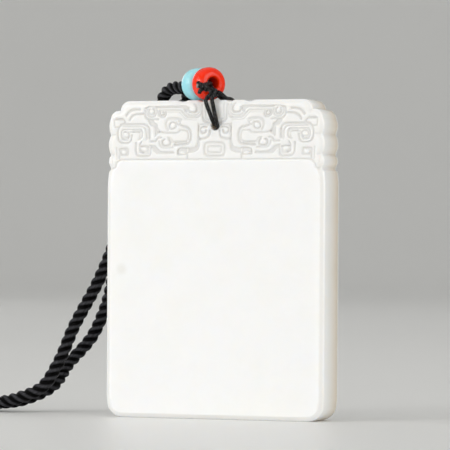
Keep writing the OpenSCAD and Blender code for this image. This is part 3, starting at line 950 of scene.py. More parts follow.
# Grooves of the carved band: width, depth and middle line.
GROOVES: list[tuple[float, float, Line]] = [
    (0.2, 0.26, [(11.6, 60.07), (7.3, 60.05), (6.85, 59.8), (6.15, 58.98), (5.6, 58.67), (3.8, 58.62),
        (3.15, 58.85), (2.8, 59.4), (2.75, 61.3)]),
    (0.16, 0.16, [(10.0, 59.68), (7.5, 59.65), (7.1, 59.35), (6.5, 58.6), (6.0, 58.25), (3.8, 58.2)]),
    (0.24, 0.34, [(5.5, 60.5), (5.42, 59.9), (5.0, 59.6), (4.1, 59.6), (3.78, 59.85), (3.7, 60.5),
        (3.95, 60.95)]),
    (0.18, 0.24, [(6.3, 59.8), (5.75, 59.2), (5.3, 59.03), (3.95, 59.05), (3.45, 59.3), (3.15, 59.9),
        (3.1, 60.8), (3.4, 61.25)]),
    (0.16, 0.24, [(3.42, 59.95), (3.4, 60.6), (3.75, 61.15), (4.4, 61.3)]),
    (0.2, 0.2, [(1.88, 61.4), (1.88, 58.5), (1.7, 58.25), (1.2, 58.12)]),
    (0.24, 0.3, [(2.62, 61.3), (2.55, 59.1), (2.4, 58.3), (1.95, 57.75), (1.2, 57.6)]),
    (0.22, 0.34, [(1.7, 56.75), (2.3, 56.85), (2.9, 56.6), (3.0, 56.1), (2.75, 55.65), (2.3, 55.5),
        (1.85, 55.7), (1.75, 56.1)]),
    (0.18, 0.24, [(1.3, 57.2), (2.2, 57.3), (3.0, 57.25), (3.35, 56.8), (3.4, 56.1), (3.1, 55.45)]),
    (0.24, 0.3, [(3.05, 54.42), (2.2, 54.5), (1.4, 54.8), (1.08, 55.2), (0.98, 56.0)]),
    (0.26, 0.24, [(0, 51.12), (1.7, 51.12), (2.05, 51.5), (2.18, 52.4), (2.05, 53.3), (1.7, 53.68),
        (0, 53.72)]),
    (0.22, 0.22, [(0, 51.77), (1.15, 51.77), (1.38, 52.0), (1.42, 52.7), (1.2, 52.98), (0, 52.98)]),
    (0.26, 0.3, [(7.1, 57.1), (6.6, 56.88), (5.7, 56.68), (5.15, 56.15), (4.95, 55.2), (5.05, 54.2),
        (5.35, 53.62), (6.0, 53.38), (8.4, 53.25)]),
    (0.2, 0.24, [(7.0, 56.15), (6.0, 56.1), (5.6, 55.8), (5.5, 55.2), (5.52, 54.35), (5.85, 53.97),
        (8.8, 53.88)]),
    (0.2, 0.26, [(11.7, 55.9), (10.5, 55.68), (8.1, 55.6), (7.6, 55.75), (7.25, 56.12)]),
    (0.27, 0.24, [(9.85, 56.2), (10.2, 56.8), (10.3, 57.5), (10.1, 58.1), (9.5, 58.43), (8.5, 58.48),
        (7.6, 58.4), (7.1, 58.15)]),
    (0.2, 0.3, [(9.5, 56.75), (9.45, 57.3), (9.0, 57.75), (8.5, 57.72), (8.2, 57.4), (8.15, 56.9),
        (8.5, 56.5), (9.1, 56.4), (9.5, 56.75)]),
    (0.15, 0.28, [(8.15, 57.75), (7.85, 57.3), (7.5, 57.2), (7.2, 57.45), (7.25, 57.85), (7.6, 58.0)]),
    (0.22, 0.32, [(10.6, 54.35), (11.0, 54.2), (11.03, 53.5), (10.65, 53.12), (9.7, 53.13),
        (9.3, 53.35), (9.25, 53.9), (9.6, 54.45)]),
    (0.16, 0.2, [(9.9, 54.75), (9.2, 54.6), (8.85, 54.1)]),
    (0.2, 0.26, [(13.5, 54.0), (12.4, 54.0), (12.15, 54.4), (11.75, 54.85), (11.3, 54.72)]),
    (0.18, 0.24, [(11.75, 54.0), (11.6, 53.35), (11.2, 52.95), (10.8, 52.78), (8.8, 52.78)]),
    (0.22, 0.26, [(7.9, 51.6), (7.8, 52.4), (7.5, 52.75), (6.4, 52.8), (5.6, 52.7)]),
    (0.2, 0.24, [(5.67, 50.6), (5.65, 51.7)]),
    (0.22, 0.3, [(13.75, 60.25), (13.92, 59.75), (13.65, 59.3), (13.1, 59.2), (12.75, 59.5),
        (12.72, 60.1), (13.0, 60.4)]),
    (0.2, 0.26, [(14.3, 60.3), (14.4, 59.6), (14.0, 58.95), (13.2, 58.7), (12.5, 59.0), (12.2, 59.6),
        (12.25, 60.2), (12.5, 60.5)]),
    (0.22, 0.28, [(14.68, 60.3), (14.78, 59.6), (14.65, 58.9), (14.2, 58.42), (13.4, 58.33),
        (11.9, 58.3)]),
    (0.18, 0.4, [(11.45, 59.75), (11.55, 59.35), (11.2, 59.0), (10.75, 59.1), (10.65, 59.5),
        (10.95, 59.75)]),
    (0.18, 0.34, [(11.7, 60.05), (11.95, 59.5), (11.7, 58.95), (11.1, 58.7), (10.5, 58.8),
        (10.25, 59.3), (10.35, 59.75)]),
    (0.2, 0.28, [(17.5, 55.3), (17.7, 54.1), (18.3, 53.75), (19.5, 53.76), (20.05, 53.98), (20.4, 54.5),
        (20.5, 55.3), (20.5, 56.0), (20.35, 56.7), (19.9, 57.2), (19.3, 57.38), (15.2, 57.4),
        (14.4, 57.25), (13.95, 56.85), (13.68, 56.2), (13.65, 54.6)]),
    (0.16, 0.24, [(18.37, 54.3), (19.36, 54.37), (19.75, 54.72), (19.82, 55.43), (19.67, 56.1),
        (19.29, 56.42), (15.6, 56.42), (15.25, 56.1), (15.2, 54.9), (15.75, 54.5)]),
    (0.18, 0.22, [(19.3, 56.95), (15.3, 56.92), (14.75, 56.6), (14.45, 56.05), (14.38, 54.4)]),
    (0.16, 0.2, [(19.1, 55.95), (18.3, 55.92), (18.0, 55.5), (18.0, 54.9), (18.3, 54.65)]),
    (0.16, 0.2, [(17.76, 55.85), (15.94, 55.85), (15.71, 55.43), (15.79, 54.72), (16.09, 54.44)]),
    (0.2, 0.26, [(15.5, 53.9), (15.85, 53.4), (15.88, 52.3), (15.6, 51.9), (15.1, 51.8)]),
    (0.22, 0.26, [(16.65, 53.7), (16.62, 51.9), (16.35, 51.35), (15.9, 51.13), (13.9, 51.12),
        (13.55, 51.5), (13.5, 52.7)]),
    (0.2, 0.24, [(15.5, 53.05), (14.4, 53.1), (13.9, 52.9)]),
    (0.18, 0.26, [(20.13, 50.7), (20.13, 52.6), (18.37, 52.67), (18.22, 51.9), (18.3, 51.33),
        (19.9, 51.35), (20.05, 52.0)]),
    (0.16, 0.2, [(20.65, 50.6), (20.7, 51.6), (20.75, 52.8)]),
    (0.25, 0.3, [(18.65, 59.15), (18.25, 59.7), (17.7, 60.1), (17.0, 60.28), (15.9, 60.28)]),
    (0.24, 0.3, [(17.95, 58.2), (17.65, 58.8), (17.1, 59.17), (16.5, 59.38), (15.0, 59.45)]),
    (0.2, 0.28, [(21.2, 58.35), (19.25, 58.3), (18.85, 57.6), (19.85, 57.3)]),
    (0.18, 0.24, [(21.3, 58.3), (21.25, 56.95), (20.45, 56.8)]),
    (0.16, 0.14, [(22.0, 55.3), (21.2, 55.3), (20.9, 55.35)]),
    (0.16, 0.12, [(21.95, 51.4), (21.9, 50.9), (21.7, 49.9)]),
    (0.16, 0.12, [(22.0, 51.4), (21.3, 51.45)]),
    (0.2, 0.3, [(0, 50.42), (19.6, 50.42), (20.05, 50.28), (20.58, 49.98), (20.82, 49.35),
        (20.97, 48.85), (21.57, 48.75), (22.4, 48.75)]),
]

# Lowered fields between the scrolls: depth and outline.
FIELDS: list[tuple[float, Line]] = [
    (0.4, [(15.1, 60.4), (14.0, 60.92), (6.8, 61.03), (5.75, 60.95), (5.6, 60.4), (5.75, 59.6),
        (6.25, 59.85), (6.9, 60.47), (12.2, 60.47), (12.6, 60.75), (13.6, 60.72), (14.3, 60.45)]),
    (0.34, [(14.2, 58.25), (12.9, 58.2), (12.7, 57.75), (12.1, 57.45), (11.95, 56.6), (11.4, 56.0),
        (11.6, 55.6), (12.2, 55.3), (12.45, 54.9), (12.7, 54.9), (12.75, 56.9), (13.4, 57.0),
        (13.9, 57.45)]),
    (0.3, [(13.9, 53.4), (12.6, 53.25), (11.6, 52.3), (10.9, 52.08), (8.6, 52.05), (8.3, 51.62),
        (9.0, 51.52), (12.2, 51.55), (12.9, 52.2), (13.4, 52.7)]),
    (0.32, [(5.6, 52.7), (4.1, 52.95), (3.75, 53.6), (3.62, 55.2), (3.6, 57.5), (3.3, 57.6),
        (3.35, 55.4), (3.0, 54.6), (3.1, 53.0), (3.3, 52.35), (4.1, 51.85), (5.6, 51.68)]),
    (0.22, [(17.5, 56.3), (15.4, 56.3), (15.3, 55.8), (17.5, 55.75)]),
    (0.24, [(21.1, 58.75), (19.4, 58.65), (19.2, 58.45), (21.0, 58.35)]),
    (0.28, [(7.85, 52.3), (7.4, 52.7), (5.75, 52.7), (5.75, 51.3), (7.8, 51.25)]),
    (0.2, [(8.5, 53.85), (5.9, 53.9), (5.65, 53.6), (6.0, 53.4), (8.5, 53.3)]),
    (0.2, [(14.1, 56.6), (13.75, 56.4), (13.7, 54.4), (14.3, 54.4), (14.35, 56.0)]),
    (0.18, [(19.5, 55.9), (19.6, 54.7), (19.2, 54.4), (18.4, 54.4), (18.05, 54.8), (18.05, 55.5),
        (18.4, 55.9)]),
    (0.22, [(15.7, 53.1), (15.7, 52.1), (15.2, 51.6), (13.9, 51.5), (13.8, 52.9)]),
    (0.2, [(19.95, 52.5), (18.45, 52.55), (18.35, 51.9), (18.4, 51.45), (19.85, 51.45)]),
]

# Raised lines that cross a lowered field: half width, height and middle line.
THREADS: list[tuple[float, float, Line]] = [
    (0.16, 0.26, [(8.05, 51.2), (8.08, 52.3), (7.75, 52.75), (7.1, 53.0)]),
    (0.14, 0.22, [(19.29, 56.68), (15.48, 56.66), (14.95, 56.13), (14.87, 54.8), (15.63, 54.16),
        (16.09, 53.6), (16.2, 51.8)]),
    (0.14, 0.16, [(20.15, 56.0), (20.15, 54.9), (19.85, 54.25), (19.2, 54.02), (18.3, 54.02)]),
]

# Raised bosses: place across, place up, half length, half height, turn in degrees and height.
PIPS: list[tuple[float, float, float, float, float, float]] = [
    (4.68, 60.28, 0.72, 0.52, 0, 0.1),
    (13.3, 59.85, 0.36, 0.34, 30, 0.2),
    (11.1, 59.38, 0.28, 0.2, -15, 0.2),
    (8.82, 57.05, 0.5, 0.46, 0, 0.2),
    (7.62, 57.58, 0.22, 0.2, 0, 0.08),
    (2.35, 56.25, 0.36, 0.34, 20, 0.2),
    (10.25, 53.8, 0.48, 0.4, 0, 0.1),
    (18.8, 55.35, 0.46, 0.38, 0, 0.26),
    (14.85, 52.55, 0.62, 0.32, 12, 0.28),
    (19.14, 51.9, 0.44, 0.34, 0, 0.26),
    (6.75, 51.75, 0.58, 0.22, 5, 0.32),
]

# The panel's top line: distance from the middle and height.
BAND_LINE: Line = [
    (0, 50.42), (19.6, 50.42), (20.05, 50.28), (20.58, 49.98), (20.82, 49.35), (20.97, 48.8),
    (21.5, 48.72),
]


@dataclass(frozen=True)
class Carving:
    """The carved band's height map. It is mirrored about the middle, and all lengths are in millimetres.

    Shares says how much of its own depth or height a field, a raised line or pip, and a groove keeps.
    The dull-and-shade weights are the plain surface's, then what a field and a groove add and a raised line
    or pip takes off, a millimetre; they make the stone duller there and lay painted shade into the
    recesses.
    """

    grooves: list[tuple[float, float, Line]] = field(default_factory=lambda: GROOVES)
    fields: list[tuple[float, Line]] = field(default_factory=lambda: FIELDS)
    threads: list[tuple[float, float, Line]] = field(default_factory=lambda: THREADS)
    pips: list[tuple[float, ...]] = field(default_factory=lambda: PIPS)
    base: float = 0.06
    field_round: float = 0.25
    line_round: float = 0.3
    wall_out: float = 0.07
    field_wall: float = 0.18
    thread_wall: float = 0.16
    pip_power: float = 2.5
    pip_foot: float = 1.25
    pip_wall: float = 0.6
    groove_reach: float = 1.4
    shares: Point = (0.8, 0.9, 0.75)
    dull_shade_weights: tuple[float, float, float, float] = (0.42, 1.1, 1.4, 1.6)

    def lowered(self, s: np.ndarray, z: np.ndarray) -> np.ndarray:
        """Depth of the lowered fields, each with a soft wall along its outline.

        Args:
            s: distances of the points from the middle.
            z: heights of the points.

        Returns:
            The depth at every point.
        """
        ground = np.zeros(s.shape)
        for deep, points in self.fields:
            outline = rounded(points, self.field_round, closed=True)
            away = line_distance(s, z, outline)
            signed = np.where(within(s, z, outline), away, -away)
            ground = np.maximum(ground, deep * smooth_step((signed + self.wall_out) / self.field_wall))
        return ground

    def raised(self, s: np.ndarray, z: np.ndarray) -> np.ndarray:
        """Height of the raised lines and the pips, with soft walls; a pip is a superellipse.

        Args:
            s: distances of the points from the middle.
            z: heights of the points.

        Returns:
            The height at every point.
        """
        high = np.zeros(s.shape)
        for half, height, points in self.threads:
            away = line_distance(s, z, rounded(points, self.line_round))
            share = (half + self.wall_out - away) / self.thread_wall
            high = np.maximum(high, height * smooth_step(share))
        power = self.pip_power
        for across, up, half, tall, turn, height in self.pips:
            c, q = math.cos(math.radians(turn)), math.sin(math.radians(turn))
            u, w = (s - across) * c + (z - up) * q, (z - up) * c - (s - across) * q
            out = (np.abs(u / half) ** power + np.abs(w / tall) ** power) ** (1 / power)
            high = np.maximum(high, height * smooth_step((self.pip_foot - out) / self.pip_wall))
        return high

    def grooved(self, s: np.ndarray, z: np.ndarray) -> np.ndarray:
        """Depth of the deepest groove at each point, a soft step of the distance over its width.

        Args:
            s: distances of the points from the middle.
            z: heights of the points.

        Returns:
            The depth at every point.
        """
        cut = np.zeros(s.shape)
        for wide, deep, points in self.grooves:
            away = line_distance(s, z, rounded(points, self.line_round))
            cut = np.maximum(cut, deep * smooth_step(self.groove_reach - away / wide))
        return cut

    def depth(self, x: np.ndarray, z: np.ndarray) -> tuple[np.ndarray, np.ndarray]:
        """Works out how deep the carving lies behind the front plane.

        The depth is the base's plus what fields and grooves take off, less what lines and pips leave
        standing.

        Args:
            x: widths of the points.
            z: heights of the points.

        Returns:
            The depth at every point, and how dull it is and how much painted shade darkens it, from 0 to 1.
        """
        s = np.abs(x)
        ground, high, cut = self.lowered(s, z), self.raised(s, z), self.grooved(s, z)
        of_ground, of_high, of_cut = self.shares
        plain, in_field, in_groove, on_line = self.dull_shade_weights
        depth = self.base + of_ground * ground - of_high * high + of_cut * cut
        # More in fields and grooves: painted shade and a duller polish in the recesses.
        dull_shade = plain + in_field * ground + in_groove * cut - on_line * high
        return np.maximum(depth, 0.0), np.clip(dull_shade, 0.0, 1.0)


@dataclass(frozen=True)
class HalfLine:
    """Right half of the outline, evenly spaced from the middle of the foot to the middle of the top.

    The lengths along it say where the side starts and ends, and where the shoulder's flat meets the
    top's round.
    """

    points: np.ndarray
    start: float
    end: float
    step: float


@dataclass(frozen=True)
class Outline:
    """The tablet's outline from the front, mirrored about the middle. All lengths are in millimetres.

    A lobe is how far it stays inside the side, its radius and its height. Shoulder and crown are the
    circles of the top's two corners, each by its place across, height and radius. A dip in the top edge
    is its place, the radius of its circle, and how far the circle's middle lies over the edge.
    """

    width: float = 45.6
    height: float = 62.0
    corner_r: float = 3.5
    notch_in: float = 0.64
    body_top: float = 47.2
    body_r: float = 1.6
    lobes: tuple[Point, ...] = ((0.2, 1.69, 50.15), (0.14, 3.67, 53.4), (0.23, 3.42, 57.0))
    shoulder: Point = (20.45, 58.35, 1.8)
    crown: Point = (18.2, 60.1, 1.9)
    dips: tuple[Point, ...] = ((7.0, 2.3, 2.0), (2.9, 1.3, 1.0))
    round_points: int = 60
    side_points: int = 3000
    crown_points: int = 200
    top_points: int = 1200
    samples: int = 5200
    softened: int = 15

    def half_width(self, z: np.ndarray) -> np.ndarray:
        """Half the width at a height: the widest of body, corner round, lobes and shoulder there.

        Args:
            z: heights.

        Returns:
            Half the width at each of them.
        """
        half = self.width / 2
        low = np.clip(self.corner_r - z, 0.0, self.corner_r)
        over = np.clip(z - self.body_top, 0.0, self.body_r)
        body = (half - self.corner_r + np.sqrt(self.corner_r ** 2 - low ** 2)
                - self.body_r + np.sqrt(self.body_r ** 2 - over ** 2))
        neck = np.where(z < self.shoulder[1], half - self.notch_in, 0.0)
        upper = np.maximum(np.where(over < self.body_r, body, 0.0), neck)
        out = np.where(z < self.body_top, body, upper)
        for across, up, r in [*((half - back - r, up, r) for back, r, up in self.lobes), self.shoulder]:
            reach = r * r - (z - up) ** 2
            out = np.where(reach > 0, np.maximum(out, across + np.sqrt(np.maximum(reach, 0.0))), out)
        return out

    def top_height(self, x: np.ndarray) -> np.ndarray:
        """Height of the top edge at a distance from the middle: the crown's round less the dips.

        Args:
            x: distances from the middle.

        Returns:
            The height at each of them.
        """
        across, up, r = self.crown
        corner = up + np.sqrt(np.maximum(r * r - (x - across) ** 2, 0.0))
        high = np.where(x > across, corner, self.height)
        for place, radius, over in self.dips:
            reach = radius ** 2 - (x - place) ** 2
            bottom = self.height + over - np.sqrt(np.maximum(reach, 0.0))
            high = np.where(reach > 0, np.minimum(high, bottom), high)
        return high

    def traced(self) -> tuple[np.ndarray, int]:
        """The unsoftened right half from foot to top, and the number of its side's last point.

        Returns:
            The points, and that number.
        """
        half, r = self.width / 2, self.corner_r
        angle = np.linspace(-np.pi / 2, 0.0, self.round_points)
        arc = np.stack([half - r + r * np.cos(angle), r + r * np.sin(angle)], 1)
        step_z = self.shoulder[1] + self.shoulder[2]
        z = np.linspace(r, step_z, self.side_points)[1:]
        side = np.stack([self.half_width(z), z], 1)
        across, up, crown_r = self.crown
        inner = across + math.sqrt(crown_r ** 2 - (step_z - up) ** 2)
        turn = inner - (inner - across) * np.linspace(0, 1, self.crown_points) ** 2
        x = np.concatenate([turn, np.linspace(across, 0, self.top_points)[1:]])
        top = np.stack([x, self.top_height(x)], 1)
        return np.concatenate([[[0.0, 0.0]], arc, side, top]), len(arc) + len(side)

    def half(self) -> HalfLine:
        """The right half, spaced evenly and softened by a running mean that rounds its notches.

        Returns:
            The softened half with its lengths.
        """
        line, last = self.traced()
        length = run_length(line)
        fine = read_along(line, length, np.linspace(0.0, length[-1], self.samples))
        extra = self.softened
        padded = np.concatenate([fine[extra:0:-1] * [-1, 1], fine, fine[-2:-extra - 2:-1] * [-1, 1]])
        kernel = np.ones(self.softened) / self.softened
        soft = [np.convolve(values, kernel, "same")[extra:-extra] for values in padded.T]
        start = self.width / 2 - self.corner_r + self.corner_r * math.pi / 4
        return HalfLine(np.stack(soft, 1), start, float(length[last]), float(length[last + 1]))


@dataclass
class Surface:
    """A surface under construction: its points, what each keeps for the finish, and its faces."""

    points: list[np.ndarray] = field(default_factory=list)
    carved: list[np.ndarray] = field(default_factory=list)
    shaded_flank: list[np.ndarray] = field(default_factory=list)
    faces: list[np.ndarray] = field(default_factory=list)

    def put(self, points: np.ndarray, carved: np.ndarray | float = 0.0,
            shaded_flank: float = 0.0) -> np.ndarray:
        """Adds a grid or a ring of points.

        Args:
            points: the points, in an array of the grid's or the ring's shape.
            carved: how dull the surface is there and how much painted shade darkens it, from 0 to 1.
            shaded_flank: 1 where the points lie on the tablet's narrow sides, which get the painted shade
                of the flanks.

        Returns:
            The points' numbers, in the same shape.
        """
        shape = points.shape[:-1]
        number = sum(map(len, self.points)) + np.arange(math.prod(shape)).reshape(shape)
        self.points.append(points.reshape(-1, 3))
        self.carved.append(np.broadcast_to(carved, shape).ravel())
        self.shaded_flank.append(np.broadcast_to(shaded_flank, shape).ravel())
        return number

    def piece(self, name: str) -> bpy.types.Object:
        """Makes the surface a piece."""
        values = {"carved": np.concatenate(self.carved), "shaded_flank": np.concatenate(self.shaded_flank)}
        return make_piece(name, np.concatenate(self.points), self.faces, values=values)


def mirrored(points: np.ndarray, place: np.ndarray) -> np.ndarray:
    """Takes points over to the left where their place across is below zero."""
    return points * np.stack([np.where(place < 0, -1.0, 1.0), np.ones(len(place))], 1)


def standing(flat: np.ndarray, y: np.ndarray | float) -> np.ndarray:
    """Sets widths and heights upright in space, at their place from front to back."""
    return np.stack([flat[..., 0], np.broadcast_to(y, flat.shape[:-1]), flat[..., 1]], -1)


def sheet(number: np.ndarray, box: tuple[int, int, int]) -> np.ndarray:
    """Faces of a grid of points, less a square of cells by its lowest row, lowest column and size.

    Args:
        number: the points' numbers in the grid.
        box: the square.

    Returns:
        Four corner numbers a face.
    """
    row, column, size = box
    quads = np.stack([number[:-1, :-1], number[:-1, 1:], number[1:, 1:], number[1:, :-1]], -1)
    keep = np.ones(quads.shape[:2], bool)
    keep[row:row + size, column:column + size] = False
    return quads[keep]


def border(number: np.ndarray) -> np.ndarray:
    """Numbers of the points round a grid: along the foot, up the right, back along the top, down."""
    return np.concatenate([number[0, :-1], number[:-1, -1], number[-1, :0:-1], number[:0:-1, 0]])


def inner_border(number: np.ndarray, box: tuple[int, int, int]) -> np.ndarray:
    """The same round for a square of cells inside the grid."""
    row, column, size = box
    return border(number[row:row + size + 1, column:column + size + 1])


def bridge(one: np.ndarray, other: np.ndarray) -> np.ndarray:
    """Faces between two rings of the same size, the second one farther back."""
    return np.stack([one, other, np.roll(other, -1), np.roll(one, -1)], 1)


def stitch(fine: np.ndarray, wide: np.ndarray) -> list[np.ndarray]:
    """Faces between a ring and one with a quarter of its points: a fan from each point of the wide ring.

    Args:
        fine: numbers of the fine ring.
        wide: numbers of the wide ring, farther back or farther in.

    Returns:
        The faces' corner numbers.
    """
    first, second, third, fourth = fine.reshape(-1, COARSE).T
    after, following = np.roll(first, -1), np.roll(wide, -1)
    fans = [(first, wide, second), (second, wide, third), (third, wide, following),
            (third, following, fourth), (fourth, following, after)]
    return [np.stack(fan, 1) for fan in fans]


@dataclass(frozen=True)
class FrontFace:
    """The tablet's front as a height map: plain panel, sloping border, carved band with rounded edges.

    The border is the sloping strip round the panel. Dull-and-shade numbers say how much duller the border
    and the band's rim are and how much painted shade darkens them, soft ones over which width a look or a
    level changes. The fade is the distance from the edge at which the carving sets in, and the width over
    which it comes to its full depth.
    """

    outline: Outline = Outline()
    carving: Carving = Carving()
    top_line: Line = field(default_factory=lambda: BAND_LINE)
    border_w: float = 0.9
    border_d: float = 0.42
    border_dull_and_shade: float = 0.55
    band_ease_w: float = 1.1
    band_ease_power: float = 1.4
    edge_reach: float = 1.6
    top_line_soft: float = 0.2
    border_soft: float = 0.15
    fade: Pair = (0.15, 0.35)
    rim_dull_and_shade: float = 0.5
    rim_w: float = 0.8
    rim_soft: float = 0.5
    outline_every: int = 8

    def depth(self, x: np.ndarray, z: np.ndarray) -> tuple[np.ndarray, np.ndarray]:
        """Depth of the front behind its plane: panel, sloping border, rounded band edge and carving.

        The border falls evenly over its width to its depth at the edge. Round the band the same depth
        is reached over the ease's width, by a power of the share that is left to the edge. The carving
        fades out towards the edge and over the panel's top line.

        Args:
            x: widths of the points.
            z: heights of the points.

        Returns:
            The depth, and how dull the surface is and how much painted shade darkens it, from 0 to 1.
        """
        soft = self.outline.half().points[::self.outline_every]
        whole = np.concatenate([soft, soft[::-1] * [-1, 1]])
        edge = np.minimum(line_distance(x, z, whole, self.edge_reach), self.edge_reach)
        slope = self.border_d * np.clip(1 - edge / self.border_w, 0.0, 1.0)
        ease = self.border_d * np.clip(1 - edge / self.band_ease_w, 0.0, 1.0) ** self.band_ease_power
        top_line = np.interp(np.abs(x), *zip(*self.top_line))
        over = smooth_step((z - top_line) / self.top_line_soft + 0.5)
        depth, cut = self.carving.depth(x, z)
        fade = smooth_step((edge - self.fade[0]) / self.fade[1])
        below = np.maximum(depth - self.carving.base, 0.0) * fade
        # Painted shade and a duller polish on the sloping border and the band's rim.
        border_dull_shade = self.border_dull_and_shade * smooth_step((self.border_w - edge) / self.border_soft + 0.5)
        rim_dull_shade = self.rim_dull_and_shade * smooth_step((self.rim_w - edge) / self.rim_soft + 0.5)
        band_dull_shade = np.maximum(fade * cut, rim_dull_shade)
        return ((1 - over) * (slope + below) + over * (ease + depth * fade),
                (1 - over) * border_dull_shade + over * band_dull_shade)


@dataclass(frozen=True)
class Tablet:
    """The jade tablet: plain front panel, carved band, lobed ends, eased edges and the cord hole.

    An ease is the round of an edge, turned through the given degrees. The hole is its place across, its
    height and its radius. A ring in its mouths is how much wider than the hole it is and how far inside
    the mouth. Columns and rows count the cells of the front; the strip is the columns that cover a
    shoulder's flat at each side of the top.
    """

    outline: Outline = Outline()
    face: FrontFace = FrontFace()
    thickness: float = 8.4
    front_ease: float = 0.3
    back_ease: float = 0.35
    back_in: float = 0.5
    bulge: float = 0.04
    front_turn: tuple[float, ...] = (22.5, 45.0, 67.5, 90.0)
    back_turn: tuple[float, ...] = (0.0, 30.0, 60.0, 90.0)
    side_rings: int = 3
    hole: Point = (0.1, 56.97, 0.87)
    # painted shade and a duller polish on the hole's wall
    hole_dull_and_shade: float = 0.4
    hole_ease: float = 0.4
    mouth_rings: tuple[Pair, ...] = ((0.03, 0.06), (0.0, 0.14))
    back_rings: tuple[Pair, ...] = ((0.0, 0.16), (0.05, 0.04), (0.14, 0.0))
    columns: int = 400
    strip: int = 20
    rows: int = 176
    foot_rows: int = 16
    panel_rows: int = 24
    foot_top: float = 1.5
    foot_fade: float = 8.0
    band_low: float = 48.0
    hole_cells: int = 20
    hole_fade: float = 1.6

    def rim(self, inset: float) -> tuple[np.ndarray, np.ndarray, np.ndarray]:
        """The outline moved inwards, as three sides of a grid whose left side mirrors the right one.

        A point moves along the outline's inward direction, which is the run of the softened line turned
        by a quarter. Columns are evenly spaced along the foot and along the top from the middle to the
        step; the last few cover the shoulder's flat. Rows lie level, close in the band and at the foot.

        Args:
            inset: how far the outline is moved in, in millimetres.

        Returns:
            Foot and top from left to right, and the right side from the foot up.
        """
        half = self.outline.half()
        length = run_length(half.points)
        run = np.gradient(half.points, axis=0)
        run /= np.linalg.norm(run, axis=1)[:, None]
        moved = half.points + inset * np.stack([-run[:, 1], run[:, 0]], 1)
        below = np.linspace(-half.start, half.start, self.columns + 1)
        foot = mirrored(read_along(moved, length, np.abs(below)), below)
        middle = length[-1]
        inner = np.linspace(0.0, middle - half.step, self.columns // 2 - self.strip + 1)
        strip = np.linspace(middle - half.step, middle - half.end, self.strip + 1)[1:]
        away = np.concatenate([inner, strip])
        across = np.concatenate([-away[:0:-1], away])
        top = mirrored(read_along(moved, length, middle - np.abs(across)), across)
        side = (length >= half.start) & (length <= half.end)
        heights = half.points[side][:, 1]
        places = np.interp(self.levels(heights[0], heights[-1]), heights, length[side])
        places[0], places[-1] = half.start, half.end
        return foot, top, read_along(moved, length, places)

    def ring(self, inset: float) -> np.ndarray:
        """The outline moved inwards, in the same order as a grid's border."""
        foot, top, right = self.rim(inset)
        return np.concatenate([foot[:-1], right[:-1], top[:0:-1], right[:0:-1] * [-1, 1]])

    def row_heights(self) -> np.ndarray:
        """Heights at which the rows stand: close at the foot, wide in the panel, close in the band.

        Returns:
            The heights, from the foot up.
        """
        foot = np.linspace(0.0, self.foot_top, self.foot_rows + 1)[:-1]
        panel = np.linspace(self.foot_top, self.band_low, self.panel_rows + 1)[:-1]
        band = np.linspace(self.band_low, self.outline.height, self.rows + 1 - len(foot) - len(panel))
        return np.concatenate([foot, panel, band])

    def levels(self, foot: np.ndarray, top: np.ndarray) -> np.ndarray:
        """Heights of the rows in columns with the given lower and upper end.

        A row's height, plus the foot's rise fading out over the lowest few millimetres, and in the band
        shrunk so that the last row meets the top.

        Args:
            foot: heights of the columns' lower ends.
            top: heights of their upper ends.

        Returns:
            The heights, rows from the foot up.
        """
        level = self.row_heights().reshape(-1, *(1,) * np.ndim(foot))
        low = np.clip(1 - level / self.foot_fade, 0.0, 1.0)
        band = np.clip(level - self.band_low, 0.0, None)
        shrunk = (top - self.band_low) / (self.outline.height - self.band_low) - 1
        return level + foot * low + band * shrunk

    def grid(self, inset: float, every: int) -> np.ndarray:
        """Grid over the outline, spread from its sides.

        A column's width is the foot's and the top's mixed by the height share, and its heights are its
        levels. The last few columns of each side then stretch out to the side, by their number's share
        of the distance that is left. Round the hole the cells follow circles: within the hole's square
        of cells by their number from its middle, and fading out over a few of them.

        Args:
            inset: how far the outline is moved in.
            every: keeps each so many-th row and column.

        Returns:
            Widths and heights of the points, rows from the foot up.
        """
        foot, top, right = self.rim(inset)
        share = (self.row_heights() / self.outline.height)[:, None]
        width = (1 - share) * foot[:, 0] + share * top[:, 0]
        flat = np.stack([width, self.levels(foot[:, 1], top[:, 1])], -1)
        number = np.arange(self.columns + 1) - self.columns // 2
        stretch = np.clip((np.abs(number) - self.columns // 2) / self.strip + 1, 0.0, 1.0)
        left = (right - flat[:, -1])[:, None] * stretch[None, :, None]
        points = flat + left * np.stack([np.sign(number), np.ones(len(number))], -1)
        row, column = self.hole_cell()
        i = (np.arange(self.rows + 1) - row)[:, None] / (self.hole_cells / 2)
        j = (np.arange(self.columns + 1) - column)[None, :] / (self.hole_cells / 2)
        square = np.maximum(np.abs(i), np.abs(j))
        around = np.maximum(np.hypot(i, j), TINY)
        x, z, r = self.hole
        reach = r + inset * self.hole_ease
        ring = np.stack([x + j / around * square * reach, z + i / around * square * reach], -1)
        keep = smooth_step((square - 1.0) / self.hole_fade)[:, :, None]
        return (ring * (1 - keep) + points * keep)[::every, ::every]

    def hole_cell(self) -> tuple[int, int]:
        """Row and column of the front's point in the hole's middle, half way between the back's.

        Returns:
            The two numbers.
        """
        nearest = np.argmin(np.abs(self.row_heights() - self.hole[1]))
        row = int(round(nearest / COARSE)) * COARSE
        return row + COARSE // 2, self.columns // 2 + COARSE // 2

    def hole_box(self, every: int) -> tuple[int, int, int]:
        """Lowest row and column and size of the hole's square, where each so many-th point is kept.

        Args:
            every: how many points of the front make a step of the grid.

        Returns:
            Row, column and size in that grid.
        """
        row, column = self.hole_cell()
        half = self.hole_cells // 2
        return (row - half) // every, (column - half) // every, self.hole_cells // every

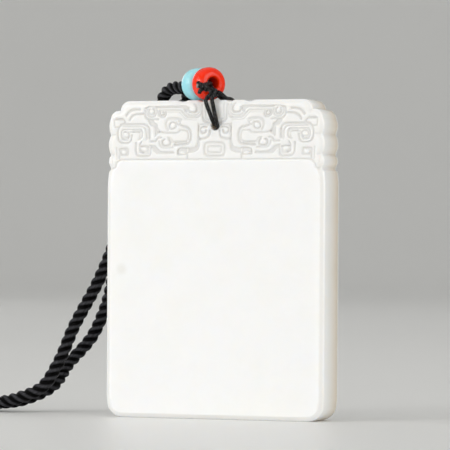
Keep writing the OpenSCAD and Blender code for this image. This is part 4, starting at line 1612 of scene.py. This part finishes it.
    def profile(self) -> list[Pair]:
        """Inset and place of the rings from front to back: quarter round, full side, quarter round.

        Returns:
            An inset and a place from front to back for each ring.
        """
        front, back = self.face.border_d - self.thickness / 2, self.thickness / 2
        first = [(self.front_ease * (1 - math.sin(a)), front + self.front_ease * (1 - math.cos(a)))
                 for a in np.radians(self.front_turn)]
        side = np.linspace(front + self.front_ease, back - self.back_ease, self.side_rings + 2)[1:-1]
        last = [(self.back_ease * (1 - math.cos(a)), back - self.back_ease * (1 - math.sin(a)))
                for a in np.radians(self.back_turn)]
        return [*first, *((-self.bulge, float(y)) for y in side), *last]

    def bore(self, mouth: float) -> list[Pair]:
        """Radius and place of the rings down the hole, from its mouth in the carving to the back.

        Args:
            mouth: the mouth's place from front to back.

        Returns:
            A radius and a place for each ring.
        """
        r, back = self.hole[2], self.thickness / 2
        first = [(r + wider, mouth + away) for wider, away in self.mouth_rings]
        last = [(r + wider, back - away) for wider, away in self.back_rings]
        return [*first, (r, 0.0), *last]

    def build(self) -> None:
        """Builds the closed tablet: fine front, eased sides, coarser flat back, and the hole's wall."""
        skin = Surface()
        flat = self.grid(self.front_ease, 1)
        depth, cut = self.face.depth(flat[..., 0], flat[..., 1])
        front = standing(flat, depth - self.thickness / 2)
        # The front keeps the carving's painted shade and dullness.
        front_number = skin.put(front, cut)
        front_box, back_box = self.hole_box(1), self.hole_box(COARSE)
        skin.faces.append(sheet(front_number, front_box))
        ring = border(front_number)
        for inset, y in self.profile():
            # The narrow sides are marked for the painted shade of the flanks.
            after = skin.put(standing(self.ring(inset), y), shaded_flank=1.0)
            skin.faces.append(bridge(ring, after))
            ring = after
        back = self.grid(self.back_ease + self.back_in, COARSE)
        back_number = skin.put(standing(back, self.thickness / 2))
        skin.faces.append(sheet(back_number, back_box)[:, ::-1])
        skin.faces.extend(stitch(ring, border(back_number)))
        ring = inner_border(front_number, front_box)
        mouth = front.reshape(-1, 3)[ring]
        middle = np.array(self.hole[:2])
        ray = mouth[:, [0, 2]] - middle
        ray /= np.linalg.norm(ray, axis=1)[:, None]
        for radius, y in self.bore(float(mouth[:, 1].mean())):
            after = skin.put(standing(middle + ray * radius, y), self.hole_dull_and_shade)
            skin.faces.append(bridge(ring, after)[:, ::-1])
            ring = after
        skin.faces.extend(block[:, ::-1] for block in stitch(ring, inner_border(back_number, back_box)))
        piece = skin.piece("plaque_carved")
        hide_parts("plaque")
        dress(piece, Nephrite().material())


def placed(at: Point, right: np.ndarray, up: np.ndarray, ahead: np.ndarray) -> Matrix:
    """Placement of a camera or light that looks ahead, from the directions of its own right and up."""
    turned = Matrix([(*row, 0.0) for row in np.stack([right, up, -ahead], 1).tolist()] + [(0, 0, 0, 1)])
    return Matrix.Translation(at) @ turned


@dataclass(frozen=True)
class SoftLight:
    """One soft light that faces the tablet. Its place and size are in metres, its power in watts."""

    name: str
    at: Point
    size: Pair
    power: float
    colour: str = "#FFFFFF"
    spread_deg: float = 100.0
    aim: Point = (0.0, 0.0, 0.035)

    def hang(self) -> None:
        """Makes the light and turns it to its aim."""
        data = bpy.data.lights.new(self.name, "AREA")
        data.shape = "RECTANGLE"
        data.size, data.size_y = self.size
        data.spread = math.radians(self.spread_deg)
        data.energy = self.power
        data.color = linear(self.colour)[:3]
        lamp = bpy.data.objects.new(self.name, data)
        ahead = np.subtract(self.aim, self.at)
        ahead /= np.linalg.norm(ahead)
        right = np.cross(ahead, [0.0, 0.0, 1.0])
        right /= np.linalg.norm(right)
        lamp.matrix_world = placed(self.at, right, np.cross(right, ahead), ahead)
        bpy.context.scene.collection.objects.link(lamp)


LIGHTS = [
    SoftLight("key_left", (-1.2, -1.6, 0.6), (0.75, 0.75), 4.5),
    SoftLight("fill_right", (1.35, -0.55, 0.4), (1.0, 1.0), 2.72, "#FFFDF8"),
    SoftLight("front_low", (0.2, -1.8, 0.25), (1.0, 1.0), 1.68),
    SoftLight("back_left", (-1.5, 1.3, 0.35), (0.8, 0.8), 1.5),
    SoftLight("strip_left", (-1.15, -0.38, 0.48), (0.16, 0.8), 0.6),
]


@dataclass(frozen=True)
class Studio:
    """Pale floor that rises into a round pale wall, soft lights, and the camera.

    The camera's angles are in degrees, its focal length in pixels of the picture, and lengths in
    millimetres.
    """

    yaw: float = 22.0
    elevation: float = -0.493
    roll: float = 0.352
    focal_px: float = 3346.2
    frame_px: float = 450.0
    sensor_mm: float = 36.0
    target: Point = (0.654, 0.0, 37.756)
    distance: float = 652.8
    floor_r: float = 2200.0
    bend_r: float = 1200.0
    wall_top: float = 3600.0
    floor_rings: int = 12
    bend_rings: int = 25
    around: int = 96
    mottle_mm: float = 1000 / 3

    def camera(self) -> None:
        """Places the camera: it looks at the target at that yaw and elevation, then rolls."""
        a, e, r = (math.radians(v) for v in (self.yaw, self.elevation, self.roll))
        ahead = np.array([-math.sin(a) * math.cos(e), math.cos(a) * math.cos(e), -math.sin(e)])
        level = np.array([math.cos(a), math.sin(a), 0.0])
        over = np.cross(level, ahead)
        right = level * math.cos(r) + over * math.sin(r)
        up = over * math.cos(r) - level * math.sin(r)
        eye = (np.asarray(self.target) - ahead * self.distance) * MM
        data = bpy.data.cameras.new("camera")
        data.sensor_width = self.sensor_mm
        data.lens = self.focal_px / self.frame_px * self.sensor_mm
        data.clip_start, data.clip_end = 0.01, 20.0
        camera = bpy.data.objects.new("camera", data)
        camera.matrix_world = placed(eye.tolist(), right, up, ahead)
        bpy.context.scene.collection.objects.link(camera)
        bpy.context.scene.camera = camera

    def paper(self) -> bpy.types.Material:
        """Pale matt paper with a faint mottle, which mirrors a little.

        Returns:
            The finished material.
        """
        material, tree = empty_material("pale_matt_paper")
        mottle = add(tree, "ShaderNodeTexNoise", {
            "Vector": add(tree, "ShaderNodeTexCoord").outputs["Object"], "Scale": 1 / (self.mottle_mm * MM),
            "Detail": 2.0})
        colour = add(tree, "ShaderNodeMix", {
            0: mottle.outputs["Fac"], 6: linear("#E9E9E7"), 7: linear("#EDEDEB")}, data_type="RGBA")
        shader = add(tree, "ShaderNodeBsdfPrincipled", {
            "Base Color": colour.outputs[2], "Roughness": 0.42, "Specular IOR Level": 0.4})
        add(tree, "ShaderNodeOutputMaterial", {"Surface": shader.outputs[0]})
        return material

    def backdrop(self) -> None:
        """Turns the floor, its bend and the wall about the vertical as one sheet."""
        bend = np.linspace(0.0, np.pi / 2, self.bend_rings)[1:]
        floor = np.linspace(0.0, self.floor_r, self.floor_rings)[1:]
        bent = self.floor_r + self.bend_r * np.sin(bend)
        radius = np.concatenate([floor, bent, [self.floor_r + self.bend_r]])
        height = np.concatenate([0.0 * floor, self.bend_r * (1 - np.cos(bend)), [self.wall_top]])
        turn = np.arange(self.around) * 2 * np.pi / self.around
        up = np.broadcast_to(height[:, None], (len(radius), self.around))
        out = radius[:, None]
        rings = np.stack([out * np.cos(turn), out * np.sin(turn), up], -1).reshape(-1, 3)
        here = np.arange(self.around)
        disc = np.stack([np.full(self.around, len(rings)), here, (here + 1) % self.around], 1)
        quads = grid_quads(len(radius), self.around, True)[:, ::-1]
        sheet = make_piece("studio_floor", np.concatenate([rings, np.zeros((1, 3))]), [quads, disc])
        sheet.data.materials.append(self.paper())

    def build(self) -> None:
        """Sets up camera, floor, lights and the plain surrounding light."""
        self.camera()
        self.backdrop()
        for light in LIGHTS:
            light.hang()
        world = bpy.data.worlds.new("soft_surroundings")
        world.use_nodes = True
        world.node_tree.nodes.clear()
        glow = add(world.node_tree, "ShaderNodeBackground",
                   {"Color": linear("#F2F2F2"), "Strength": 0.72})
        add(world.node_tree, "ShaderNodeOutputWorld", {"Surface": glow.outputs[0]})
        bpy.context.scene.world = world
        bpy.context.scene.view_settings.view_transform = "Standard"


def main() -> None:
    """Builds camera and studio first, then cords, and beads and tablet."""
    logging.basicConfig(level=logging.INFO, format="%(name)s: %(message)s")
    Studio().build()
    thread = WaxedThread().material()
    NeckCord().build()
    PendantLoop().build(thread)
    ThreadKnot().build(thread)
    RingBead("red_bead", Stone.CORAL, "red_stone", (-2.5, -1.2, 65.3)).build()
    RingBead("turquoise_bead", Stone.TURQUOISE, "turquoise_stone", (-5.7345, 1.2374, 65.3)).build()
    Tablet().build()


if __name__ == "__main__":
    main()
